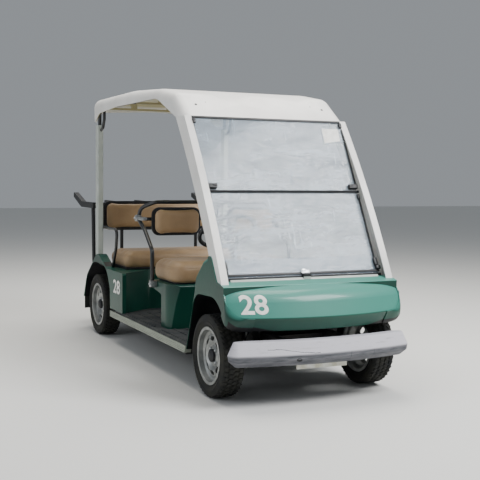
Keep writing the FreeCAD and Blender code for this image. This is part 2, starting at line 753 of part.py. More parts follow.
def wing_edge():
    """Hollow rounded edge of the wing behind the pillar, open towards the cabin."""
    start = -8.0
    side = [
        # y behind the front axle, z, corner
        (start, 824.25, 0),
        (70.0, 795.0, 60),
        (187.0, 690.0, 70),
        (210.0, 600.0, 60),
        (356.0, 205.0, 0),
        (200.0, 205.0, 0),
        (start, 560.0, 0),
    ]
    outline = loop(from_front(side), lambda y, z: Vector(HALF_BODY - WING_DEPTH, y, z))
    outer = rounded_outside(Part.Face(outline), WING_DEPTH, WING_ROUND)
    inner_face = Part.Face(outline.makeOffset2D(-SKIN)).translated(Vector(-WING_DEPTH, 0, 0))
    return outer.cut(rounded_outside(inner_face, 2 * WING_DEPTH - SKIN, WING_ROUND - SKIN))


def rounded_outside(face, depth, radius):
    """A side face pushed outwards, its outer upper and rear edges rounded."""
    block = face.extrude(Vector(depth, 0, 0))
    bounds = block.BoundBox
    edges = []
    for edge in block.Edges:
        mid = edge.valueAt((edge.FirstParameter + edge.LastParameter) / 2)
        outside = all(abs(v.X - bounds.XMax) < 0.01 for v in edge.Vertexes)
        behind = mid.z > 750 or mid.y > front(150)
        if outside and abs(mid.x - bounds.XMax) < 0.01 and behind and mid.z > 220:
            edges.append(edge)
    return block.makeFillet(radius, edges)


def make_cowl():
    """Hood shell, both wings with their arches, the arch liners and the bulkhead between them."""
    outer = hood_form(0.0)
    shell = outer.cut(hood_form(SKIN))
    wing = prism_x(from_front(WING_OUTLINE), HALF_BODY - SKIN, HALF_BODY)
    wing = wing.common(outer.fuse(box(0, HALF_BODY, front(-300), front(500), FLOOR_TOP + SEAT_GAP, 900)))
    wing = wing.cut(box(0, HALF_BODY + 1, front(-8), front(500), 0, 900))
    edge = wing_edge().cut(box(0, HALF_BODY + 1, front(-300), front(500), 0, FLOOR_TOP + SEAT_GAP))
    edge = edge.cut(pillar_blank(PILLAR_IN - SEAT_GAP, HALF_BODY - SKIN, -SEAT_GAP))
    wide = arch_solid(LINER_X, HALF_BODY - SKIN / 2, SKIN)
    liner = wide.cut(arch_solid(LINER_X + SKIN, HALF_BODY + 50))
    liner = liner.common(box(0, HALF_BODY, front(-330), front(345), 225, 900))
    liner = liner.cut(box(0, LINER_X + SKIN + 1, front(-500), front(60), 0, 455))
    liner = liner.common(hood_form(SKIN / 2).fuse(box(0, HALF_BODY, front(-240), front(400), 0, 900)))
    bulkhead = box(-LINER_X - 2, LINER_X + 2, front(-96), front(-90) - SEAT_GAP, 440, DASH_FOOT_Z - SEAT_GAP)
    arch = arch_solid(HALF_BODY - 40, HALF_BODY + 40)
    pieces = [shell.cut(arch).cut(mirrored(arch)), bulkhead]
    pieces += both(wing.cut(arch)) + both(edge.cut(arch)) + both(liner)
    cowl = fused(pieces)
    for cut in both(corner_cuts()):
        cowl = cowl.cut(cut)
    keep("front_cowl", cowl)


def bumper_form(inset, half):
    """The bumper's outer form, or the room behind its skin, swept round its plan arc."""
    back = BUMPER_DEPTH + 3 * inset
    form = spun_flat([
        # set back, z, corner
        (0.0 + inset, 306.0, 12),
        (34.0 + inset, 378.0 - inset, 16),
        (back, 380.0 - inset, 0),
        (back, 238.0 + inset, 0),
        (46.0 + inset, 236.0 + inset, 16),
        (4.0 + inset, 272.0, 12),
    ], NOSE_Y, BUMPER_PLAN_RADIUS)
    return form.common(box(-half, half, NOSE_Y - 20, front(BUMPER_BACK) + 2 * inset, 200, 420))


def bumper_room(inset):
    return bumper_form(inset, HALF_BUMPER - inset)


def make_bumper():
    """Moulded bumper, hollow and open behind."""
    keep("front_bumper", bumper_form(0.0, HALF_BUMPER).cut(bumper_room(BUMPER_SKIN)))


def make_plate():
    plate = box(-165, 165, front(-348) - SEAT_GAP, front(-345) - SEAT_GAP, 200, 288)
    for hole in plate_holes():
        plate = plate.cut(hole)
    keep("number_plate", plate)


# Screen, pillars and roof

SCREEN_FOOT_Y = -136.0


def screen_y(z):
    return front(SCREEN_FOOT_Y) + (z - SCREEN_FOOT_Z) / tan(radians(SCREEN_TILT))


def screen_half(z):
    """The panes widen a little towards the roof."""
    return PILLAR_IN - 1.3 - (LIP_Z - z) * 0.0215


def pane(low, high):
    wide = PANE_THICK / sin(radians(SCREEN_TILT))
    slab = prism_x([
        (screen_y(low), low, 0),
        (screen_y(high), high, 0),
        (screen_y(high) + wide, high, 0),
        (screen_y(low) + wide, low, 0),
    ], -HALF_BODY, HALF_BODY)
    outline = prism_y([
        (-screen_half(low), low, 0),
        (screen_half(low), low, 0),
        (screen_half(high), high, 0),
        (-screen_half(high), high, 0),
    ], front(-400), front(700))
    return slab.common(outline)


def make_screen():
    """Two flat panes, the strip they part at, and the foot strip with its latch."""
    keep("screen_lower", pane(SCREEN_FOOT_Z + 12, SCREEN_MID_Z - 8 - SEAT_GAP))
    keep("screen_upper", pane(SCREEN_MID_Z + 8 + SEAT_GAP, LIP_Z - SEAT_GAP))
    half = PILLAR_IN - SEAT_GAP
    middle = screen_y(SCREEN_MID_Z)
    bar = prism_x([
        (middle - 11, SCREEN_MID_Z - 8, 3),
        (middle + 17, SCREEN_MID_Z - 8, 3),
        (middle + 17, SCREEN_MID_Z + 8, 3),
        (middle - 11, SCREEN_MID_Z + 8, 3),
    ], -half, half)
    foot_y = screen_y(SCREEN_FOOT_Z)
    foot = prism_x([
        (foot_y - 11, SCREEN_FOOT_Z - 36, 0),
        (foot_y + 12, SCREEN_FOOT_Z - 36, 0),
        (foot_y + 12, SCREEN_FOOT_Z + 12 - SEAT_GAP, 2),
        (foot_y - 5, SCREEN_FOOT_Z + 12 - SEAT_GAP, 2),
    ], -half, half)
    latch = box(-26, 26, foot_y - 22, foot_y, SCREEN_FOOT_Z - 16, SCREEN_FOOT_Z + 22)
    foot = foot.fuse(latch).removeSplitter().cut(hood_form(0.0))
    keep("screen_strips", Part.makeCompound([bar, foot]))


ROOF_SIDE = [
    # y from the front axle or, past the middle, from the rear axle; z down from the top; corner
    ("front", 392.0, ROOF_TOP - LIP_Z, 0),
    ("front", 606.0, 84.0, 120),
    ("front", 900.0, 34.0, 900),
    ("front", 1500.0, 0.0, 2500),
    ("rear", 222.0, 0.0, 0),
    ("rear", 222.0, 182.0, 0),
    ("rear", 40.0, 182.0, 40),
    ("rear", -70.0, 118.0, 160),
    ("rear", -560.0, 95.0, 700),
    ("front", 900.0, 100.0, 280),
    ("front", 545.0, ROOF_TOP - LIP_Z, 0),
]

VISOR_GROOVES = [
    # x, radius, depth at the visor's top edge
    (-160.0, 420.0, 20.0),
    (300.0, 420.0, 9.0),
]


def roof_outline(table):
    placed = []
    for end, y, down, radius in table:
        placed.append((front(y) if end == "front" else rear(y), ROOF_TOP - down, radius))
    return placed


def roof_form(corners, inset):
    """Side outline across the width, rounded in plan at the rear, its long upper edges rounded."""
    half = HALF_BODY - 3 - inset
    corner = ROOF_CORNER - inset
    plan = prism_z([
        (-half, front(300), 0),
        (half, front(300), 0),
        (half, rear(222) - inset, corner),
        (-half, rear(222) - inset, corner),
    ], ROOF_TOP - 700, ROOF_TOP + 50)
    form = prism_x(corners, -half, half).common(plan)
    upper = []
    for edge in form.Edges:
        mid = edge.valueAt((edge.FirstParameter + edge.LastParameter) / 2)
        flank = abs(abs(mid.x) - half) < 0.01
        ends = [v.Point for v in edge.Vertexes]
        top = ROOF_TOP - inset
        over = abs(mid.z - top) < 0.01 and all(abs(p.z - top) < 0.01 for p in ends)
        if over and (flank or mid.y > rear(222) - corner):
            upper.append(edge)
    return form.makeFillet(ROOF_EDGE_RADIUS - inset, upper)


def roof_hollow():
    """The room under the roof's skin, open downwards."""
    wall = ROOF_WALL
    return roof_form([
        (front(392) + 1.5 * wall, ROOF_TOP - 600, 0),
        (front(392) + 1.5 * wall, ROOF_TOP - 241, 4),
        (front(606) + 0.6 * wall, ROOF_TOP - 84 - wall, 120 - wall),
        (front(900), ROOF_TOP - 34 - wall, 900),
        (front(1500), ROOF_TOP - wall, 2500),
        (rear(222) - wall, ROOF_TOP - wall, 0),
        (rear(222) - wall, ROOF_TOP - 600, 0),
    ], wall)


def visor_groove(x, radius, depth, wall):
    """Shallow trough over the visor's top edge, or the same with a wall round it."""
    slope = radians(23)
    across = Vector(0, -sin(slope), cos(slope))
    along = Vector(0, cos(slope), sin(slope))
    deepest = Vector(x, front(612), ROOF_TOP - 88) - across * depth
    return Part.makeCylinder(radius + wall, 700, deepest + across * radius - along * 350, along)


def make_roof():
    """Moulded skin with a rim all round and a socket over each front pillar."""
    outer = roof_form(roof_outline(ROOF_SIDE), 0.0)
    room = roof_hollow()
    skin = outer
    for x, radius, depth in VISOR_GROOVES:
        skin = skin.cut(visor_groove(x, radius, depth, 0.0))
        room = room.cut(visor_groove(x, radius, depth, ROOF_WALL))
    pieces = [skin.cut(room)]
    socket = box(PILLAR_IN - 6, HALF_BODY - 3, front(396), front(543), LIP_Z, LIP_Z + 40)
    pieces += both(socket.common(outer))
    keep("roof", fused(pieces))


PILLAR_FRONT = [(-203.0, 676.0), (45.0, 1133.0), (394.0, 1660.0)]
PILLAR_REAR = [(-94.0, 682.0), (160.0, 1120.0), (543.0, 1660.0)]


def pillar_blank(x0, x1, inset):
    """Side outline of a front pillar, two gentle arcs, drawn in by inset and pushed across."""
    (y0, z0), (y1, z1), (y2, _) = PILLAR_FRONT
    (w0, v0), (w1, v1), (w2, _) = PILLAR_REAR
    top = LIP_Z - SEAT_GAP
    foot = 600.0
    points = [Vector(x0, front(y), z) for y, z in (
        (y0 + inset, z0), (y1 + inset, z1), (y2 + inset, top), (w2 - inset, top), (w1 - inset, v1),
        (w0 - inset, v0), (w0 - 40 - inset, foot), (y0 - 20 + inset, foot))]
    outline = Part.Wire([
        Part.Arc(points[0], points[1], points[2]).toShape(),
        Part.LineSegment(points[2], points[3]).toShape(),
        Part.Arc(points[3], points[4], points[5]).toShape(),
        Part.LineSegment(points[5], points[6]).toShape(),
        Part.LineSegment(points[6], points[7]).toShape(),
        Part.LineSegment(points[7], points[0]).toShape(),
    ])
    return Part.Face(outline).extrude(Vector(x1 - x0, 0, 0))


def make_pillars():
    """Moulded front pillars, hollow towards the cabin, standing on the hood."""
    pillar = pillar_blank(PILLAR_IN, PILLAR_OUT, 0).cut(pillar_blank(PILLAR_IN, PILLAR_OUT - SKIN, 8))
    pillar = pillar.cut(hood_form(0.0)).cut(box(0, HALF_BODY, front(-600), front(300), 300, 640))
    keep_both("front_pillars", pillar)


def make_posts():
    """Square tube with rounded corners from the rear body up to the roof frame."""
    x0, x1 = POST_X - POST_WIDTH / 2, POST_X + POST_WIDTH / 2
    y0, y1 = rear(-POST_DEPTH / 2), rear(POST_DEPTH / 2)
    top = ROOF_TOP - POST_DROP
    solid = rounded_box(x0, x1, y0, y1, 500, top, 8)
    wall = POST_WALL
    bore = rounded_box(x0 + wall, x1 - wall, y0 + wall, y1 - wall, 500, top - wall, 5)
    keep_both("rear_posts", solid.cut(bore).cut(rear_form(0.0)))


def make_roof_frame():
    """Tubes under the roof: one along each side, grips at the rear posts, and cross bars."""
    top = ROOF_TOP - POST_DROP + SEAT_GAP
    high = ROOF_TOP - 82
    front_of_post = -POST_DEPTH / 2 - LOOP_TUBE - SEAT_GAP
    pieces = []
    for side in (1, -1):
        x = side * (POST_X - 3)
        pieces.append(bent([(x, rear(0), top), (x, rear(0), high), (x, front(950), high),
                            (x, front(640), high - 44)], FRAME_TUBE, 60))
        pieces.append(bent([(x, rear(front_of_post), top - 40), (x, rear(-95), top - 20),
                            (x, rear(-128), top + 40), (x, rear(-128), high)], LOOP_TUBE, 26))
    for y in (front(960), front(1560), rear(-128)):
        pieces.append(box(-POST_X, POST_X, y - 10, y + 10, high - 8, high + 8))
        for x in (-300, 0, 300):
            pieces.append(box(x - 24, x + 24, y - 8, y + 8, high, ROOF_TOP + 10))
    keep("roof_frame", fused(pieces).common(roof_hollow()))


# Rear bodywork

ARCH_REAR = [
    # y behind the rear axle, z, corner
    (-384.0, 200.0, 0),
    (-375.0, 420.0, 120),
    (-270.0, 578.0, 180),
    (90.0, 590.0, 200),
    (300.0, 450.0, 160),
    (385.0, 262.0, 60),
    (388.0, 200.0, 0),
]


def rear_form(inset):
    """The rear body's outer form, or the same drawn in by a wall."""
    side = [
        (rear(-700 + inset), FLOOR_TOP - 2 * inset, 0),
        (rear(-700 + inset), SEAT_DECK_Z - inset, 18 - inset),
        (rear(-270), SEAT_DECK_Z - inset, 160),
        (rear(-20), 672.0 - 1.3 * inset, 120 - inset),
        (rear(300 - inset), 455.0 - inset, 200),
        (rear(402 - 1.4 * inset), FLOOR_TOP - 2 * inset, 0),
    ]
    half = HALF_BODY - inset
    return prism_x(side, -half, half)


def knee_recess(grow):
    """Room for the rear passengers' heels, its corners slanting out to the side panels."""
    return prism_z([
        (200 - HALF_SEAT - grow, rear(-505) + grow, 60),
        (HALF_SEAT - 200 + grow, rear(-505) + grow, 60),
        (HALF_BODY - 30 + grow, rear(-680) + grow, 30),
        (HALF_BODY - 30 + grow, rear(-900), 0),
        (-HALF_BODY + 30 - grow, rear(-900), 0),
        (-HALF_BODY + 30 - grow, rear(-680) + grow, 30),
    ], 200, 700)


def make_rear_body():
    """Seat deck, side panels and fenders as one shell, with arches, liners and a heel recess."""
    middle = HALF_SEAT + 5
    tail = rear(135)
    outer = rear_form(0.0)
    outer = outer.cut(box(-middle, middle, rear(-310), rear(500), SEAT_DECK_Z, 800))
    outer = outer.cut(box(-TAIL_HALF, TAIL_HALF, tail, rear(600), 200, 800))
    hollow = rear_form(SKIN)
    well = middle + SKIN
    hollow = hollow.cut(box(-well, well, rear(-310) - SKIN, rear(500), SEAT_DECK_Z - SKIN, 800))
    hollow = hollow.cut(box(-TAIL_HALF - SKIN, TAIL_HALF + SKIN, tail - SKIN, rear(600), 200, 800))
    body = outer.cut(hollow.cut(knee_recess(SKIN))).cut(knee_recess(0))
    body = body.cut(box(-700, 700, rear(-1000), rear(600), 100, FLOOR_TOP + SEAT_GAP))
    liner_in = TAIL_HALF + SKIN
    side = [(rear(y), z, radius) for y, z, radius in ARCH_REAR]
    outline = loop(side, lambda y, z: Vector(liner_in, y, z))
    void = Part.Face(outline).extrude(Vector(300, 0, 0))
    void = void.cut(box(0, middle + SKIN, rear(-500), rear(500), SEAT_DECK_Z - 2 * SKIN, 900))
    wide = Part.Face(outline.makeOffset2D(SKIN)).extrude(Vector(HALF_BODY - SKIN / 2 - liner_in, 0, 0))
    wide = wide.cut(box(0, middle, rear(-500), rear(500), SEAT_DECK_Z - 1, 900))
    liner = wide.cut(void.translated(Vector(SKIN, 0, 0)))
    liner = liner.cut(box(300, liner_in + SKIN + 1, rear(-700), rear(700), 0, 420))
    liner = liner.common(box(300, 700, rear(-400), rear(410), FLOOR_TOP + SEAT_GAP, 900))
    liner = liner.common(rear_form(SKIN / 2))
    body = body.cut(void).cut(mirrored(void))
    notch = RAIL_X + RAIL_WIDTH
    body = body.cut(box(-notch, notch, tail - 2 * SKIN, tail + SKIN, 200, RAIL_HIGH_Z + RAIL_HALF + SEAT_GAP))
    keep("rear_body", fused([body] + both(liner)))


def make_mudflaps():
    """Rubber flaps under the rear ends of the fenders."""
    keep_both("mudflaps", box(HALF_TRACK - 62, HALF_BODY - 8, rear(389), rear(395), 160, FLOOR_TOP))


def bag_prong(x, lift):
    """One moulded arm of the rest; the outer ones are tilted up at their ends."""
    end = TAIL - 8
    return prism_x([
        (rear(112), BAG_REST_Z, 8),
        (rear(480), BAG_REST_Z, 60),
        (end, BAG_REST_Z + lift, 12),
        (end, BAG_REST_Z + lift + 44, 14),
        (rear(460), BAG_REST_Z + 46, 60),
        (rear(112), BAG_REST_Z + 46, 8),
    ], x - 20, x + 20)


def make_bag_carrier():
    """Bag well on the rails, and a rest on two uprights with a bay for each bag."""
    floor_z = RAIL_HIGH_Z + RAIL_HALF + SEAT_GAP
    half = TAIL_HALF - 7
    y0, y1 = rear(141), TAIL - 45
    wall = 8.0
    tray = rounded_box(-half, half, y0, y1, floor_z, floor_z + 110, 26)
    inside = half - wall
    tray = tray.cut(rounded_box(-inside, inside, y0 + wall, y1 - wall, floor_z + wall, floor_z + 200, 18))
    bay = 2 * inside / BAG_BAYS
    for i in range(1, BAG_BAYS):
        x = -half + wall + i * bay
        tray = tray.fuse(box(x - 4, x + 4, y0 + 4, y1 - 4, floor_z + 4, floor_z + 60))
    keep("bag_well", tray.removeSplitter())
    beam = HALF_BODY - 135
    low, high = RAIL_HIGH_Z - 42, RAIL_HIGH_Z + 42
    keep("rear_bumper", rounded_box(-beam, beam, TAIL - 41, TAIL, low, high, 14))

    uprights = [rod((x, rear(150), 500), (x, rear(178), BAG_REST_Z + 10), 15)
                for x in (-HALF_BODY + 22, HALF_BODY - 22)]
    bar = box(-HALF_BODY, HALF_BODY, rear(110), rear(190), BAG_REST_Z, BAG_REST_Z + 46)
    pitch = (2 * HALF_BODY - 40) / BAG_BAYS
    prongs = [bag_prong(-HALF_BODY + 20 + i * pitch, lift) for i, lift in enumerate(BAG_LIFTS)]
    keep("bag_rack", fused([bar] + prongs + uprights).cut(rear_form(0.0)))


# Seats

def seat_base_form(inset):
    """The front seat base's outer form, or the same drawn in by a wall and open below."""
    foot = FLOOR_TOP + SEAT_GAP if not inset else FLOOR_TOP - 20
    side = [
        (front(850 + inset), foot, 0),
        (front(815 + inset), SEAT_DECK_Z - inset, 20 - inset),
        (front(1240 - inset), SEAT_DECK_Z - inset, 14 - inset),
        (front(1226 - inset), 520.0 + inset, 10),
        (front(990 - inset), 484.0 + inset, 20),
        (front(990 - inset), foot, 0),
    ]
    half = HALF_SEAT - inset
    plan = prism_z([
        # x, y, corner
        (-half, front(815 + inset), 100 - inset),
        (half, front(815 + inset), 100 - inset),
        (half, front(1240), 0),
        (-half, front(1240), 0),
    ], FLOOR_TOP - 30, SEAT_DECK_Z + 1)
    return prism_x(side, -half, half).common(plan)


def cushion(y0, y1, top, front_corner):
    """Plain solid of a seat cushion, its front corners rounded in plan more than its rear ones."""
    return prism_z([
        # x, y, corner
        (-HALF_SEAT, y0, front_corner),
        (HALF_SEAT, y0, front_corner),
        (HALF_SEAT, y1, 40),
        (-HALF_SEAT, y1, 40),
    ], SEAT_DECK_Z + SEAT_GAP, top)


def backrest(x0, x1, low, high, radius, y0, y1):
    return prism_y([(x0, low, radius), (x1, low, radius), (x1, high, radius), (x0, high, radius)], y0, y1)


def make_seats():
    """Hollow front seat base, both cushions and the backrests, as plain solids."""
    keep("front_seat_base", seat_base_form(0.0).cut(seat_base_form(SKIN)))
    keep("front_cushion", cushion(front(798), front(1242), FRONT_CUSHION_TOP, 110))
    keep("rear_cushion", cushion(rear(-485), rear(-30), REAR_CUSHION_TOP, 70))
    keep_both("front_backrests", backrest(108, HALF_SEAT - 22, 866, 1068, 50, front(1205), front(1268)))
    keep("rear_backrest", backrest(-HALF_SEAT, HALF_SEAT, 838, 1082, 60, rear(30), rear(88)))


def make_seat_frames():
    """Grab rail behind the front backrests, the rear backrest's legs, and the rear arm loops."""
    rail_y = front(1312)
    x = HALF_SEAT + 30
    leg = bent([
        (x, front(1092), 540), (x, front(1092), 775), (x, front(1245), 900), (x, front(1400), 985),
        (x - 20, front(1400), 1060), (x - 95, rail_y, 1102), (0, rail_y, 1102)], FRAME_TUBE, 58)
    back = front(1268) + SEAT_GAP
    strap = box(-HALF_SEAT - 20, HALF_SEAT + 20, front(1272), front(1278), 972, 996)
    half = [leg, box(HALF_SEAT + 8, x + 12, front(1272), front(1404), 975, 993)]
    half += [box(px - 25, px + 25, back, front(1276), 960, 1008) for px in (200, 390)]
    half.append(box(HALF_SEAT + SEAT_GAP, x + 16, front(1072), front(1112), 522, SEAT_DECK_Z + 6))
    keep("front_seat_frame", fused([strap] + half + [mirrored(piece) for piece in half]))

    leg_y = rear(104)
    foot = SEAT_DECK_Z + SEAT_GAP
    pieces = [rod((-330, leg_y, 960), (330, leg_y, 960), FRAME_TUBE)]
    for px in (-330, 330):
        pieces.append(rod((px, leg_y, foot), (px, leg_y, BAG_REST_Z - SEAT_GAP), FRAME_TUBE))
        pieces.append(box(px - 30, px + 30, rear(88) + SEAT_GAP, leg_y, 900, 1020))
    keep("rear_seat_frame", fused(pieces))

    x = POST_X - POST_WIDTH / 2 - LOOP_TUBE - SEAT_GAP
    arm = bent([(x, rear(62), 560), (x, rear(66), 870), (x, rear(-372), 870), (x, rear(-345), 730),
                (x, rear(-240), 540)], LOOP_TUBE, 46)
    keep_both("arm_loops", arm.cut(rear_form(0.0)))


def dash_form(inset):
    side = loop([
        (front(-120), 702, 4),
        (front(-20), 806, 30),
        (front(96), 786, 30),
        (front(122), 646, 14),
        (front(60), 600, 0),
        (front(-90), 600, 0),
    ], lambda y, z: Vector(WING_DEPTH - HALF_BODY + SEAT_GAP + inset, y, z))
    if inset:
        side = side.makeOffset2D(-inset)
    return Part.Face(side).extrude(Vector(2 * (HALF_BODY - WING_DEPTH - SEAT_GAP - inset), 0, 0))


def make_dash():
    """Moulded dash shell, open below, with two pockets, a pedal shelf and the column's clamp."""
    wall = 4.0
    outer = dash_form(0.0)
    pieces = [outer.cut(dash_form(wall))]
    voids = []
    for x0, x1 in ((-150, 130), (180, HALF_BODY - 95)):
        pieces.append(rounded_box_y(x0 - wall, x1 + wall, 664, 764, front(10), front(200), 18).common(outer))
        voids.append(rounded_box_y(x0, x1, 668, 760, front(14), front(200), 14))
    pieces.append(box(-255, -25, front(-60), front(140), DASH_FOOT_Z, DASH_FOOT_Z + 6).common(outer))
    pieces.append(box(DRIVER_X - 26, DRIVER_X + 26, front(100), front(205), 668, 698).cut(outer))
    pieces.append(rod(column_point(562), column_point(606), COLUMN_RADIUS + 8))
    dash = fused(pieces)
    for void in voids:
        dash = dash.cut(void)
    dash = dash.cut(rod(column_point(400), column_point(760), COLUMN_RADIUS + SEAT_GAP))
    dash = dash.cut(box(-700, 700, front(-200), front(150), 500, DASH_FOOT_Z)).cut(hood_form(0.0))
    pillar = pillar_blank(PILLAR_IN - SEAT_GAP, HALF_BODY + 10, -SEAT_GAP)
    keep("dash", dash.cut(pillar).cut(mirrored(pillar)))


def rounded_box_y(x0, x1, z0, z1, y0, y1, radius):
    return prism_y([(x0, z0, radius), (x1, z0, radius), (x1, z1, radius), (x0, z1, radius)], y0, y1)


def make_pedals():
    """Two pedals on arms that hang from the dash."""
    top = DASH_FOOT_Z - SEAT_GAP
    pieces = []
    for x, wide in ((-200, 40), (-80, 34)):
        arm = prism_x([
            (front(30), top, 0),
            (front(66), FLOOR_TOP + 130, 0),
            (front(80), FLOOR_TOP + 134, 0),
            (front(46), top, 0),
        ], x - 6, x + 6)
        pad = prism_x([
            (front(96), FLOOR_TOP + 78, 4),
            (front(60), FLOOR_TOP + 163, 4),
            (front(70), FLOOR_TOP + 167, 4),
            (front(106), FLOOR_TOP + 82, 4),
        ], x - wide, x + wide)
        pieces.append(fused([arm, pad]))
    keep("pedals", Part.makeCompound(pieces))


def main():
    make_wheels()
    make_front_axle()
    make_knuckles()
    make_tie_rod()
    make_steering()
    make_chassis()
    make_floor()
    make_sills()
    make_rear_axle()
    make_springs()
    make_dampers()
    make_motor()
    make_cowl()
    make_bumper()
    make_plate()
    make_screen()
    make_roof()
    make_pillars()
    make_posts()
    make_roof_frame()
    make_rear_body()
    make_mudflaps()
    make_bag_carrier()
    make_seats()
    make_seat_frames()
    make_dash()
    make_pedals()
    os.makedirs("parts", exist_ok=True)
    for node, shape in nodes.items():
        bounds = shape.optimalBoundingBox(False)
        print("%-22s solids %d valid %s volume %.0f cm3  x %.0f..%.0f y %.0f..%.0f z %.0f..%.0f" % (
            node, len(shape.Solids), shape.isValid(), shape.Volume / 1000,
            bounds.XMin, bounds.XMax, bounds.YMin, bounds.YMax, bounds.ZMin, bounds.ZMax))
        shape.exportStep("parts/" + node + ".step")


main()
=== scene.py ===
# %% [markdown]
# # A golf cart, dressed around its CAD frame
# The frame gives every rigid piece at its real size and place, in metres: +X is the cart's left,
# the front faces -Y and +Z is up. This script adds what the frame leaves plain: finishes, padded
# seats, tyre treads, wheel nuts, screen hinges, seals, decals and wear. Nothing is read from disk
# except the frame, so places are measured on its pieces or written as real sizes.

# %% Load the frame
import math

import bmesh
import bpy
from mathutils import Matrix, Vector, noise
from mathutils.bvhtree import BVHTree


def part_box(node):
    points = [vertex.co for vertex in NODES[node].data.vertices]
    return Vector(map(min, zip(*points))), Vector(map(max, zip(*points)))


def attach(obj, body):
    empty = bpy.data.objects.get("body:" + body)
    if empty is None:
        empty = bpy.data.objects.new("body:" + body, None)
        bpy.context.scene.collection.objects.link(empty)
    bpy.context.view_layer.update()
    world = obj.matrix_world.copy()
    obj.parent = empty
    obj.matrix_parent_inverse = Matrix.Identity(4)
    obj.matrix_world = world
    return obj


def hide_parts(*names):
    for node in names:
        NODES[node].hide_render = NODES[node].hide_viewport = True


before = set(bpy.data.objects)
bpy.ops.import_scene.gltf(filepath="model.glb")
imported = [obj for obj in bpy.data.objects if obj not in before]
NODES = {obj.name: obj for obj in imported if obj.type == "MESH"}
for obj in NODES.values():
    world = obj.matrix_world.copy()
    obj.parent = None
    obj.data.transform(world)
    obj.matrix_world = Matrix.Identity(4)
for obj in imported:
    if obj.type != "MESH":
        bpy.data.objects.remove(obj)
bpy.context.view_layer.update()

# %% [markdown]
# ## The camera
# A photograph's viewpoint can be solved from a few points whose real places are known, such as
# wheel centres and roof corners. That gave a lens of 68.5 mm on a 36 mm sensor, 6.7 m from the
# cart's middle and 1.3 m above the ground, turned 24.6 degrees and leaning down 3.9 degrees.

# %% Camera
LENS_MM = 68.52
SENSOR_MM = 36.0
CAMERA_PLACE = Vector((-2.599, -6.174, 1.283))
TURN, LEAN, ROLL = (math.radians(a) for a in (24.65, 3.91, 0.58))


def linked(name, data):
    """An object for a mesh, text, camera or light, linked to the scene."""
    made = bpy.data.objects.new(name, data)
    bpy.context.collection.objects.link(made)
    return made


def axes(x_way, y_way, z_way):
    """Matrix that turns X, Y and Z into three directions at right angles."""
    return Matrix((x_way, y_way, z_way)).transposed().to_4x4()


forward = Vector((math.sin(TURN) * math.cos(LEAN), math.cos(TURN) * math.cos(LEAN), -math.sin(LEAN)))
level = Vector((math.cos(TURN), -math.sin(TURN), 0.0))
upright = level.cross(forward)
right = level * math.cos(ROLL) + upright * math.sin(ROLL)
up = upright * math.cos(ROLL) - level * math.sin(ROLL)

camera = linked("camera", bpy.data.cameras.new("camera"))
camera.data.lens = LENS_MM
camera.data.sensor_width = SENSOR_MM
camera.matrix_world = Matrix.Translation(CAMERA_PLACE) @ axes(right, up, -forward)
bpy.context.scene.camera = camera
print("camera stands", round(CAMERA_PLACE.xy.length, 2), "m from the cart's middle")

# %% [markdown]
# ## Colours and nodes
# Colours are written as sRGB hex values, the way a paint swatch is picked on a screen. Shader
# sockets want linear light, so one function turns them. A second small function adds a node with
# its settings and links, which keeps each finish short enough to read at a glance. A Mix node that
# mixes colours takes its share on socket 0 and its two colours on sockets 6 and 7.

# %% Helpers for nodes
def linear(code):
    """An sRGB hex value as linear red, green and blue, with a full alpha."""
    channels = [int(code[i:i + 2], 16) / 255 for i in (0, 2, 4)]
    return [c / 12.92 if c <= 0.04045 else ((c + 0.055) / 1.055) ** 2.4 for c in channels] + [1.0]


def feed(node, key, source):
    """Gives a socket a value, or links it to an output or to a node's first output in use."""
    if isinstance(source, bpy.types.Node):
        source = next(output for output in source.outputs if output.enabled)
    if isinstance(source, bpy.types.NodeSocket):
        node.id_data.links.new(source, node.inputs[key])
    else:
        node.inputs[key].default_value = source


def add(tree, kind, inputs=None, **settings):
    """Adds a node with its settings. inputs maps a socket's name or number to what feeds it."""
    node = tree.nodes.new(kind)
    for name, value in settings.items():
        setattr(node, name, value)
    for key, source in (inputs or {}).items():
        feed(node, key, source)
    return node


# %% [markdown]
# ## What finishes share
# Each finish is one physically based shader. Most real surfaces add two things to it: soft patches
# of a second colour, where dust, sun or stains have been, and a fine relief from how the surface
# was made. Noise draws both, on the object's own coordinates, so they stay put when it moves.

# %% Helpers for finishes
FINISH = {}


def finish(key, name, colour, **sockets):
    """Keeps a material of one shader under its key. Returns its tree, shader and coordinates."""
    material = bpy.data.materials.new(name)
    material.use_nodes = True
    tree = material.node_tree
    tree.nodes.clear()
    shader = add(tree, "ShaderNodeBsdfPrincipled", {"Base Color": linear(colour)})
    for socket, value in sockets.items():
        shader.inputs[socket.replace("_", " ")].default_value = value
    add(tree, "ShaderNodeOutputMaterial", {"Surface": shader})
    FINISH[key] = material
    return tree, shader, add(tree, "ShaderNodeTexCoord").outputs["Object"]


def mottle(shader, place, first, second, scale):
    """Soft patches between two colours, such as dust, fading or stains."""
    tree = shader.id_data
    cloud = add(tree, "ShaderNodeTexNoise", {"Vector": place, "Scale": scale, "Detail": 4.0})
    patch = add(tree, "ShaderNodeMapRange", {"Value": cloud, "From Min": 0.35, "From Max": 0.65})
    mix = add(tree, "ShaderNodeMix", {0: patch, 6: linear(first), 7: linear(second)}, data_type="RGBA")
    feed(shader, "Base Color", mix)
    return mix


def grain(shader, place, scale, height, kind="ShaderNodeTexNoise"):
    """Fine relief: height is the bump's depth in metres."""
    pattern = add(shader.id_data, kind, {"Vector": place, "Scale": scale})
    bump = add(shader.id_data, "ShaderNodeBump", {
        "Height": pattern.outputs[0], "Distance": height, "Strength": 1.0})
    feed(shader, "Normal", bump)


